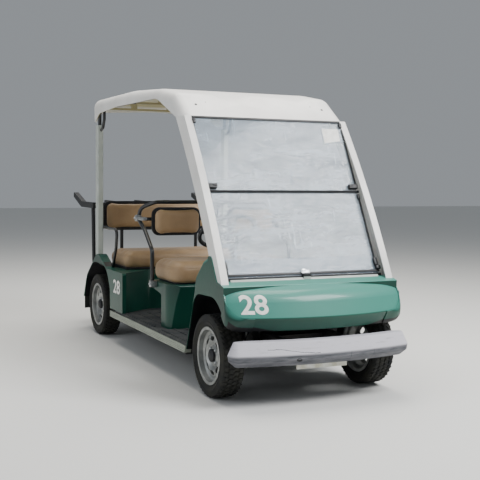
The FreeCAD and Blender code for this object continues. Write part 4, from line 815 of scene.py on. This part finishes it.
def slab(low, high, corners, rim, crown_axis):
    """Rounded slab, ready for the pressure. corners: radii of its front corners and its rear ones."""
    low, high = Vector(low), Vector(high)
    shape = bmesh.new()
    block(shape, (low + high) / 2, high - low)
    middle_y = (low.y + high.y) / 2
    for radius, ahead in zip(corners, (True, False)):
        edges = [e for e in shape.edges if e.calc_face_angle(0) > math.radians(80)
                 and abs((e.verts[0].co - e.verts[1].co)[crown_axis]) > 1e-6
                 and (crown_axis == BACK or (e.verts[0].co.y < middle_y) == ahead)]
        if edges:
            bmesh.ops.bevel(shape, geom=edges, offset=radius, segments=8, affect="EDGES", profile=0.5)
    rims = [e for e in shape.edges if e.calc_face_angle(0) > math.radians(50)]
    bmesh.ops.bevel(shape, geom=rims, offset=rim, segments=5, affect="EDGES", profile=0.5)
    piece = linked("slab", as_mesh("slab", shape))
    remesh = piece.modifiers.new("voxels", "REMESH")
    remesh.mode = "VOXEL"
    remesh.voxel_size = VOXEL
    return baked(piece)


def blown_up(mesh, cap):
    """Cloth under pressure from inside, each point's travel capped."""
    start = [v.co.copy() for v in mesh.vertices]
    piece = linked("cover", mesh)
    cloth = piece.modifiers.new("pressure", "CLOTH")
    cloth.settings.quality = 5
    cloth.settings.mass = 0.4
    cloth.settings.use_pressure = True
    cloth.settings.uniform_pressure_force = PRESSURE
    cloth.settings.effector_weights.gravity = 0.0
    for step in range(1, CLOTH_STEPS + 1):
        bpy.context.scene.frame_set(step)
    mesh = baked(piece)
    bpy.context.scene.frame_set(1)
    for vert, was in zip(mesh.vertices, start):
        move = vert.co - was
        if move.length > cap:
            vert.co = was + move * (cap / move.length)
    return mesh


def crease(mesh, crown_axis, seam):
    """Soft folds in the cover, 70 mm apart, and on a cushion the groove where its top is sewn on."""
    outward = [vert.normal.copy() for vert in mesh.vertices]
    for vert, normal in zip(mesh.vertices, outward):
        side = 1.0 - abs(normal[crown_axis])
        fold = noise.noise(Vector([c * often for c, often in zip(vert.co, FOLDS_PER_METRE)]))
        depth = -FOLD_DEPTH * side * max(0.0, fold)
        if seam is not None:
            depth -= GROOVE_DEPTH * side * math.exp(-((vert.co.z - seam) / GROOVE_HALF_WIDTH) ** 2)
        vert.co += normal * depth


def pad_mesh(low, high, corners, rim, crown_axis, cap, seam=None):
    """Slab, pressure, an even finer mesh, then the folds."""
    mesh = slab(low, high, corners, rim, crown_axis)
    mesh = blown_up(mesh, cap)
    piece = linked("cover", mesh)
    smooth = piece.modifiers.new("even", "SMOOTH")
    smooth.factor = 0.5
    smooth.iterations = 6
    subdivision = piece.modifiers.new("fine", "SUBSURF")
    subdivision.levels = subdivision.render_levels = 1
    mesh = baked(piece)
    crease(mesh, crown_axis, seam)
    return mesh


def keep_pad(name, mesh, node):
    piece = keep_mesh(name, mesh, "vinyl", smooth=60.0)
    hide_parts(node)
    return piece


# %% [markdown]
# ## Cushions and the rear backrest
# A cushion rests on a board, so below it the pad goes flat again. A backrest is blown up in the
# same way, but its crown faces forwards.

# %% Cushions and the rear backrest
SHRINK = 0.012
SUNK = 0.006
CUSHION_SWELL = 0.016
CUSHION_RIM = 0.045
BACK_RIM = 0.016
BENCH_BACK_INSET = Vector((0.010, 0.012, 0.010))
BENCH_BACK_CORNER, BENCH_BACK_SWELL = 0.060, 0.014
CUSHIONS = {
    # board's height, its inset on both sides together, front and rear corner, seam below the top
    "front_cushion": (0.010, 0.11, (0.100, 0.036), 0.046),
    "rear_cushion": (0.016, 0.07, (0.062, 0.036), 0.038),
}
cushion_pads = {}
for node, (board, _, corners, drop) in CUSHIONS.items():
    low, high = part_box(node)
    foot = low.z + board
    slab_low = (low.x + SHRINK, low.y + SHRINK, foot - SUNK)
    slab_high = (high.x - SHRINK, high.y - SHRINK, high.z - CUSHION_SWELL)
    mesh = pad_mesh(slab_low, slab_high, corners, CUSHION_RIM, UP, CUSHION_SWELL, seam=high.z - drop)
    for vert in mesh.vertices:
        vert.co.z = max(vert.co.z, foot)
    cushion_pads[node] = keep_pad(node + "_pad", mesh, node)

low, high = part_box("rear_backrest")
mesh = pad_mesh(low + BENCH_BACK_INSET, high - BENCH_BACK_INSET, (BENCH_BACK_CORNER,) * 2, BACK_RIM,
                BACK, BENCH_BACK_SWELL)
keep_pad("rear_backrest_pad", mesh, "rear_backrest")

# %% [markdown]
# Both front backrests are one CAD piece with two solids, so both pads join in one object. They sit
# apart, so each is blown up by itself first and the meshes are joined after.

# %% Front backrests
INSIDE_X = 0.108
EDGE_INSET, FACE_INSET, REAR_INSET = 0.008, 0.014, 0.012
SINGLE_BACK_CORNER, SINGLE_BACK_SWELL = 0.050, 0.012
low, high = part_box("front_backrests")
shape = bmesh.new()
for side in (1, -1):
    x0, x1 = sorted((side * (INSIDE_X + EDGE_INSET), side * (high.x - EDGE_INSET)))
    slab_low = (x0, low.y + FACE_INSET, low.z + EDGE_INSET)
    slab_high = (x1, high.y - REAR_INSET, high.z - EDGE_INSET)
    mesh = pad_mesh(slab_low, slab_high, (SINGLE_BACK_CORNER,) * 2, BACK_RIM, BACK, SINGLE_BACK_SWELL)
    shape.from_mesh(mesh)
keep_pad("front_backrest_pads", as_mesh("front_backrest_pads", shape), "front_backrests")

# %% [markdown]
# ## Boards under the cushions and shells behind the backrests
# Each cushion is stapled to a black board that shows as a dark line below it; that dark line is also
# painted shadow, standing for the shade under the cushion's rim. Each backrest has a moulded black
# back whose rim shows round the pad.

# %% Seat boards and backs
SHELL_THICK = 0.015
CORNER_STEPS = 8

# The board is black: partly the real board, partly painted shadow under the cushion's rim.
for node, (board, set_in, _, _) in CUSHIONS.items():
    low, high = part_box(node)
    shape = bmesh.new()
    centre = Vector(((low.x + high.x) / 2, (low.y + high.y) / 2, low.z + board / 2))
    block(shape, centre, (high.x - low.x - set_in, high.y - low.y - set_in, board + 0.004), bevel=0.004)
    keep_bmesh(node + "_board", shape, "trim")


def back_shell(shape, x0, x1, z0, z1, rear_y, radius):
    """Rounded plate behind a backrest."""
    ring = []
    for cx, cz, start in ((x1 - radius, z1 - radius, 0), (x0 + radius, z1 - radius, 90),
                          (x0 + radius, z0 + radius, 180), (x1 - radius, z0 + radius, 270)):
        for i in range(CORNER_STEPS + 1):
            turn = math.radians(start + i * 90 / CORNER_STEPS)
            ring.append((cx + radius * math.cos(turn), cz + radius * math.sin(turn)))
    bridge(shape, [[(x, y, z) for x, z in ring] for y in (rear_y - SHELL_THICK, rear_y)])


low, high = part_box("front_backrests")
shape = bmesh.new()
for side in (1, -1):
    x0, x1 = sorted((side * (INSIDE_X + 0.001), side * (high.x - 0.001)))
    back_shell(shape, x0, x1, low.z + 0.001, high.z - 0.001, high.y - 0.001, 0.055)
keep_bmesh("front_backrest_shells", shape, "trim")

low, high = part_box("rear_backrest")
shape = bmesh.new()
back_shell(shape, low.x + 0.002, high.x - 0.002, low.z + 0.002, high.z - 0.002, high.y - 0.001, 0.062)
keep_bmesh("rear_backrest_shell", shape, "trim")

# %% [markdown]
# ## Geometry Nodes trees
# What follows a line or repeats round a wheel is made by Geometry Nodes. A tree is built here like
# a material: it names its inputs, works on the geometry, and ends by making instances real and
# setting the material, because an export drops what isn't real.

# %% Helpers for trees
def start_tree(name, **inputs):
    """A tree with named inputs. Returns it with the outputs of its input node."""
    tree = bpy.data.node_groups.new(name, "GeometryNodeTree")
    tree.interface.new_socket("Geometry", in_out="OUTPUT", socket_type="NodeSocketGeometry")
    for title, kind in {"Geometry": "Geometry", **inputs, "Material": "Material"}.items():
        tree.interface.new_socket(title, in_out="INPUT", socket_type="NodeSocket" + kind)
    return tree, add(tree, "NodeGroupInput").outputs


def end_tree(tree, made, given):
    """Every tree ends in the same way: instances made real, then the material set."""
    real = add(tree, "GeometryNodeRealizeInstances", {0: made})
    painted = add(tree, "GeometryNodeSetMaterial", {"Geometry": real, "Material": given["Material"]})
    add(tree, "NodeGroupOutput", {0: painted})


def with_nodes(name, mesh, tree, **values):
    """Puts a tree on a mesh, sets its named inputs and bakes the result."""
    piece = linked(name, mesh)
    modifier = piece.modifiers.new(tree.name, "NODES")
    modifier.node_group = tree
    for item in tree.interface.items_tree:
        if item.in_out == "INPUT" and item.name in values:
            modifier[item.identifier] = values[item.name]
    return baked(piece)


# %% [markdown]
# ## Piping that follows a cushion
# Where two pieces of vinyl are sewn, a thin cord lies in the seam. It follows the cushion's real
# outline, so the pad's mesh is cut by a level plane and a round section is swept along the cut
# with Geometry Nodes: Mesh to Curve, then Curve to Mesh.

# %% Piping
PIPING_RADIUS = 0.0022

CORD, given = start_tree("cord_along_edges", Radius="Float")
path = add(CORD, "GeometryNodeMeshToCurve", {"Mesh": given["Geometry"]})
ring = add(CORD, "GeometryNodeCurvePrimitiveCircle", {"Resolution": 8, "Radius": given["Radius"]})
swept = add(CORD, "GeometryNodeCurveToMesh", {"Curve": path, "Profile Curve": ring})
end_tree(CORD, swept, given)


def piping(name, pad, height):
    """Round cord on the line where a level plane cuts a pad."""
    shape = as_bmesh(pad.data)
    everything = list(shape.verts) + list(shape.edges) + list(shape.faces)
    bmesh.ops.bisect_plane(shape, geom=everything, plane_co=(0, 0, height), plane_no=(0, 0, 1),
                           clear_inner=True, clear_outer=True)
    bmesh.ops.remove_doubles(shape, verts=shape.verts, dist=0.002)
    made = with_nodes(name, as_mesh(name, shape), CORD, Radius=PIPING_RADIUS, Material=FINISH["vinyl"])
    keep_mesh(name, made, "vinyl", smooth=0)


for node, (_, _, _, drop) in CUSHIONS.items():
    piping(node + "_piping", cushion_pads[node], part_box(node)[1].z - drop)

# %% [markdown]
# ## A tree that repeats round a circle
# Tread blocks and wheel nuts are the same job: one shape, over and over round a wheel. A tread
# block also turns so that its top looks away from the axle, and a nut doesn't, so the tree has an
# input that says which.

# %% Ring tree
RING, given = start_tree("repeat_round_a_circle", Count="Int", Radius="Float", Outwards="Bool")
circle = add(RING, "GeometryNodeMeshCircle", {"Vertices": given["Count"], "Radius": given["Radius"]})
from_axle = add(RING, "GeometryNodeInputPosition")
outwards = add(RING, "FunctionNodeAlignRotationToVector", {"Vector": from_axle}, axis="Z")
turned = add(RING, "GeometryNodeSwitch", {
    "Switch": given["Outwards"], "True": outwards}, input_type="ROTATION")
spread = add(RING, "GeometryNodeInstanceOnPoints", {
    "Points": circle, "Instance": given["Geometry"], "Rotation": turned})
end_tree(RING, spread, given)
WHEELS = [(end + "_" + side, way) for end in ("front", "rear") for side, way in (("left", 1), ("right", -1))]
print("wheels:", [wheel for wheel, _ in WHEELS])

# %% [markdown]
# ## Tyres
# The CAD tyre is a smooth hollow ring. A turf tyre has a flat tread of small square blocks in rows,
# set off from row to row, with the carcass lying a few millimetres below their tops. The four
# tyres are alike, so one is made about the origin and copied to each wheel.

# %% Tyres
TREAD_DEPTH = 0.006
TREAD_COUNT = 46
TREAD_ROWS = (-0.048, -0.0165, 0.0165, 0.048)
TREAD_WIDTH = 0.025
TREAD_SHARE = 0.70
BLOCK_HIGH = TREAD_DEPTH * 2.4
BEAD = 0.1565
low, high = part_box("tyre_front_left")
TYRE_RADIUS = (high.z - low.z) / 2
ROW_RADIUS = TYRE_RADIUS - BLOCK_HIGH / 2 - 0.0007
carcass = TYRE_RADIUS - TREAD_DEPTH
SIDEWALL = [
    # radius, distance from the middle of the tread, from the bead out to the tread
    (BEAD, 0.056), (BEAD + 0.010, 0.0592), (BEAD + 0.020, 0.0585), (0.190, 0.066), (0.203, 0.0715),
    (0.2035, 0.0735), (0.207, 0.0737), (0.2075, 0.0720), (0.220, 0.0715), (0.230, 0.068),
    (carcass - 0.002, 0.063), (carcass, 0.055),
]
LINING = [(BEAD + 0.004, 0.040), (BEAD + 0.004, -0.040), (BEAD, -0.056)]
AXLE = pointing((1, 0, 0), (0, 0, 0))

block_long = 2 * math.pi * ROW_RADIUS / TREAD_COUNT * TREAD_SHARE
shape = bmesh.new()
block(shape, Vector((0, 0, 0)), (TREAD_WIDTH, block_long, BLOCK_HIGH), bevel=0.0012)
row = with_nodes("tread_row", as_mesh("tread_block", shape), RING, Count=TREAD_COUNT, Radius=ROW_RADIUS,
                 Outwards=True, Material=FINISH["tyre"])

shape = bmesh.new()
lathe(shape, [(r, -x) for r, x in SIDEWALL] + SIDEWALL[::-1] + LINING, AXLE, 96)
turn_outwards(shape)
for k, across in enumerate(TREAD_ROWS):
    set_off = Matrix.Rotation(math.pi / TREAD_COUNT * (k % 2), 4, "Z")
    placed = row.copy()
    placed.transform(AXLE @ Matrix.Translation((0, 0, across)) @ set_off)
    shape.from_mesh(placed)
rubber = as_mesh("rubber", shape)

for wheel, _ in WHEELS:
    low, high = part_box("tyre_" + wheel)
    mesh = rubber.copy()
    mesh.transform(Matrix.Translation((low + high) / 2))
    piece = keep_mesh("tyre_" + wheel + "_rubber", mesh, "tyre", "wheel_" + wheel, smooth=30.0)
    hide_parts("tyre_" + wheel)

# %% [markdown]
# ## Wheel nuts and hub caps
# Each wheel is held by nuts on a small circle round a black hub. One nut is turned in six steps,
# which makes it a hexagon, and the ring tree repeats it.

# %% Wheel hardware
NUT_CIRCLE = 0.0508
NUT_COUNT = 4
NUT_FOOT = -0.010
DISC_FACE = 0.033
NUT = [
    # radius, height
    (0, 0.002), (0.0095, 0.002), (0.0095, 0.010), (0.0088, 0.012), (0.005, 0.016), (0, 0.018)]
HUB_CAP = [
    # radius, distance out from the wheel's disc
    (0, 0.0225), (0.020, 0.0225), (0.0262, 0.0195), (0.034, 0.0150), (0.0375, 0.0125),
    (0.0385, -0.001), (0.0365, -0.001), (0.0365, 0.010), (0, 0.0212)]

shape = bmesh.new()
lathe(shape, NUT, Matrix.Translation((0, 0, DISC_FACE + NUT_FOOT)), 6)
nuts = with_nodes("nuts", as_mesh("nut", shape), RING, Count=NUT_COUNT, Radius=NUT_CIRCLE,
                  Outwards=False, Material=FINISH["zinc"])
for wheel, way in WHEELS:
    low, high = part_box("rim_" + wheel)
    outward = pointing((way, 0, 0), (low + high) / 2)
    mesh = nuts.copy()
    mesh.transform(outward @ Matrix.Rotation(math.pi / 4, 4, "Z"))
    keep_mesh("nuts_" + wheel, mesh, "zinc", "wheel_" + wheel, smooth=30.0)
    shape = bmesh.new()
    lathe(shape, HUB_CAP, outward @ Matrix.Translation((0, 0, DISC_FACE)), 40)
    keep_bmesh("hub_cap_" + wheel, shape, "trim", "wheel_" + wheel)

# %% [markdown]
# ## Windshield hardware
# The upper pane folds down on two hinge clamps at the middle strip, and small black clips hold the
# panes' edges. Each sits on the pane, whose plane runs from the foot strip up to the visor, so
# one function turns a place across and up the screen into a point on its face.

# %% Places on the screen
PANE_DEPTH = 0.0057
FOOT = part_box("screen_lower")[0]
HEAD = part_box("screen_upper")[1]
SLOPE = math.atan2(HEAD.z - FOOT.z, HEAD.y - FOOT.y - PANE_DEPTH)
OUT = Vector((0, -math.sin(SLOPE), math.cos(SLOPE)))
ALONG = Vector((0, math.cos(SLOPE), math.sin(SLOPE)))
PANE_TURN = axes(Vector((1, 0, 0)), ALONG, OUT)


def on_screen(x, z, out):
    return Vector((x, FOOT.y, FOOT.z)) + ALONG * ((z - FOOT.z) / ALONG.z) + OUT * out


print("screen slope", round(math.degrees(SLOPE), 2), "degrees")

# %% [markdown]
# The hinges, clips and seals are all small blocks, so two tables give their places and sizes on
# the left side, and the right side mirrors them. A seal runs up between two places on the screen.

# %% Screen hinges and seals
BAR_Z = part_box("screen_strips")[1].z - 0.008
FITTINGS = (
    # x, z, how far out, size, edge
    (0.487, BAR_Z + 0.026, 0.010, (0.062, 0.030, 0.026), 0.005),
    (0.470, BAR_Z + 0.030, 0.020, (0.030, 0.016, 0.014), 0.004),
    (0.512, BAR_Z - 0.035, 0.008, (0.016, 0.034, 0.016), 0.003),
    (0.516, 1.625, 0.008, (0.018, 0.034, 0.014), 0.003),
    (0.505, 0.770, 0.010, (0.022, 0.050, 0.020), 0.004),
    (0.512, 0.735, 0.012, (0.030, 0.022, 0.020), 0.004),
)
SIDE_SEALS = (
    # x and z of the foot, x and z of the head
    (0.5085, 0.745, 0.5165, 1.165),
    (0.5185, 1.225, 0.5225, 1.60),
)

shape = bmesh.new()
for side in (1, -1):
    for x, z, out, size, edge in FITTINGS:
        block(shape, on_screen(side * x, z, out), size, PANE_TURN, edge)
keep_bmesh("screen_hinges", shape, "trim")

shape = bmesh.new()
block(shape, on_screen(0, HEAD.z - 0.010, 0.003), (2 * HEAD.x, 0.012, 0.010), PANE_TURN, 0.002)
for side in (1, -1):
    for foot_x, foot_z, head_x, head_z in SIDE_SEALS:
        start = on_screen(side * foot_x, foot_z, 0.0)
        end = on_screen(side * head_x, head_z, 0.0)
        way = (end - start).normalized()
        turn = axes(way.cross(OUT), way, OUT)
        block(shape, (start + end) / 2, (0.010, (end - start).length, 0.012), turn, 0.002)
keep_bmesh("screen_seals", shape, "trim")

# %% [markdown]
# A blank permit sticker is stuck on the upper pane: a thin sheet of film, not quite square.

# %% Sticker
STICKER = ((0.376, 1.604), (0.498, 1.606), (0.492, 1.526), (0.372, 1.510))
shape = bmesh.new()
bridge(shape, [[on_screen(x, z, out) for x, z in STICKER] for out in (0.0002, 0.0007)])
keep_bmesh("blank_sticker", shape, "decal", smooth=0)

# %% [markdown]
# ## Foot of the screen
# The lower pane stands in a black seal. In front of it a pale strip lies on the hood, and a catch
# holds the folding pane at its middle: a grey lever over a pale block.

# %% Foot of the screen
low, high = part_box("screen_strips")
HOOD_Z = low.z
STRIP_LEAN = Matrix.Rotation(math.radians(48), 4, "X")

strip_at = Vector((0, low.y + 0.0035, HOOD_Z + 0.0045))
shape = bmesh.new()
block(shape, strip_at, (2 * high.x - 0.060, 0.015, 0.004), STRIP_LEAN, 0.001)
block(shape, Vector((0, low.y + 0.003, HOOD_Z + 0.004)), (0.050, 0.012, 0.022), bevel=0.003)
keep_bmesh("foot_strip_pale", shape, "post")

shape = bmesh.new()
block(shape, on_screen(0, HOOD_Z + 0.030, 0.006), (2 * high.x - 0.012, 0.014, 0.007), PANE_TURN, 0.002)
keep_bmesh("foot_seal", shape, "trim")

shape = bmesh.new()
block(shape, on_screen(0, HOOD_Z + 0.034, 0.014), (0.056, 0.024, 0.010), PANE_TURN, 0.003)
block(shape, on_screen(-0.010, HOOD_Z + 0.043, 0.018), (0.026, 0.016, 0.008), PANE_TURN, 0.003)
keep_bmesh("screen_catch", shape, "zinc")

# %% [markdown]
# ## Clamps on the front seat frame
# Each side of the frame is clamped to the strap behind the backrests by a zinc block, and its foot
# stands in a bracket bolted to the seat base.

# %% Seat frame clamps
CLAMPS = (
    # centre on the left side, size, edge
    ((0.525, 0.028, 0.984), (0.036, 0.134, 0.022), 0.004),
    ((0.531, 0.090, 0.985), (0.042, 0.046, 0.046), 0.010),
    ((0.523, -0.218, 0.545), (0.047, 0.042, 0.048), 0.006),
)
CLAMP_BOLTS = (
    # place on the left side, height of the head and of its shoulder
    ((0.552, 0.090, 0.985), 0.012, 0.006),
    ((0.5465, -0.218, 0.545), 0.009, 0.005),
)

shape = bmesh.new()
for side in (1, -1):
    for (x, y, z), size, edge in CLAMPS:
        block(shape, Vector((side * x, y, z)), size, bevel=edge)
    for (x, y, z), head, shoulder in CLAMP_BOLTS:
        bolt = [(0, head), (0.006, head - 0.001), (0.009, shoulder), (0.009, -0.004), (0, -0.004)]
        lathe(shape, bolt, pointing((side, 0, 0), (side * x, y, z)), 12)
keep_bmesh("seat_frame_clamps", shape, "zinc")

# %% [markdown]
# ## Fleet numbers
# A cart in a fleet has a plain number on its nose and side. The digits are Blender's own font,
# turned to a mesh, cut fine, and each point is then dropped onto the panel behind it, so the film
# follows the moulding.

# %% Numbers
FLEET_NUMBER = "28"
FILM_HIGH = 0.104
FILM_PROUD = 0.0008
LONGEST_EDGE = 0.07


def digits(name):
    """The number's outline as a flat bmesh, cut into short edges."""
    curve = bpy.data.curves.new(name, "FONT")
    curve.body = FLEET_NUMBER
    curve.size = 1.0
    curve.offset = 0.022
    curve.resolution_u = 6
    shape = as_bmesh(baked(linked(name, curve)))
    bmesh.ops.triangulate(shape, faces=shape.faces)
    for _ in range(4):
        long_edges = [e for e in shape.edges if e.calc_length() > LONGEST_EDGE]
        bmesh.ops.subdivide_edges(shape, edges=long_edges, cuts=1)
        bmesh.ops.triangulate(shape, faces=shape.faces)
    return shape


def number_film(name, node, corner, wide, cast):
    """The number laid on a node, looking along cast, from its lower left corner."""
    shape = digits(name)
    low_x, high_x = (pick(v.co.x for v in shape.verts) for pick in (min, max))
    low_y, high_y = (pick(v.co.y for v in shape.verts) for pick in (min, max))
    panel = surface_of(NODES[node].data)
    rise = Vector((0, 0, 1))
    across = cast.cross(rise)
    for vert in shape.verts:
        right_by = (vert.co.x - low_x) / (high_x - low_x) * wide
        up_by = (vert.co.y - low_y) / (high_y - low_y) * FILM_HIGH
        start = corner + across * right_by + rise * up_by - cast
        vert.co = panel.ray_cast(start, cast)[0] - cast * FILM_PROUD
    keep_bmesh(name, shape, "decal", smooth=0)


number_film("nose_number", "front_cowl", Vector((-0.500, -1.66, 0.526)), 0.150, Vector((0, 1, 0)))
number_film("side_number", "rear_body", Vector((-0.70, 0.555, 0.395)), 0.170, Vector((1, 0, 0)))

# %% [markdown]
# ## Floor and light
# The floor is plain and pale. A broad soft panel stands in front and above, where the screen and
# the nose mirror it as they mirror a bright sky. A weak one opens up the shaded side, and the
# largest hangs overhead, as open sky does.

# %% Stage
FLOOR_REACH = 30.0
corners = [(x * FLOOR_REACH, y * FLOOR_REACH, 0) for x, y in ((-1, -1), (1, -1), (1, 1), (-1, 1))]
floor_mesh = bpy.data.meshes.new("studio_floor")
floor_mesh.from_pydata(corners, [], [(0, 1, 2, 3)])
studio_floor = linked("studio_floor", floor_mesh)
finish("floor", "pale_studio_floor", "d9d9d6", Roughness=0.9)
dress(studio_floor, "floor")


def soft_panel(name, place, target, size, power, tint):
    light = bpy.data.lights.new(name, "AREA")
    light.shape = "RECTANGLE"
    light.size, light.size_y = size
    light.energy = power
    light.color = linear(tint)[:3]
    linked(name, light).matrix_world = pointing(Vector(place) - Vector(target), place)
    print(name, "gives", power, "W")


soft_panel("front_panel", (2.6, -4.4, 5.4), (0.0, -1.0, 1.2), (3.0, 2.4), 520.0, "ffffff")
soft_panel("side_panel", (-6.0, -1.5, 3.2), (0.0, 0.4, 0.7), (4.0, 3.0), 90.0, "f4f8ff")
soft_panel("top_panel", (0.5, 1.5, 6.5), (0.0, 0.3, 0.8), (5.0, 5.0), 560.0, "fffaf2")

world = bpy.data.worlds.new("studio")
world.use_nodes = True
bpy.context.scene.world = world
world.node_tree.nodes.clear()
air = add(world.node_tree, "ShaderNodeBackground", {"Color": linear("e6edf4"), "Strength": 0.36})
add(world.node_tree, "ShaderNodeOutputWorld", {"Surface": air})
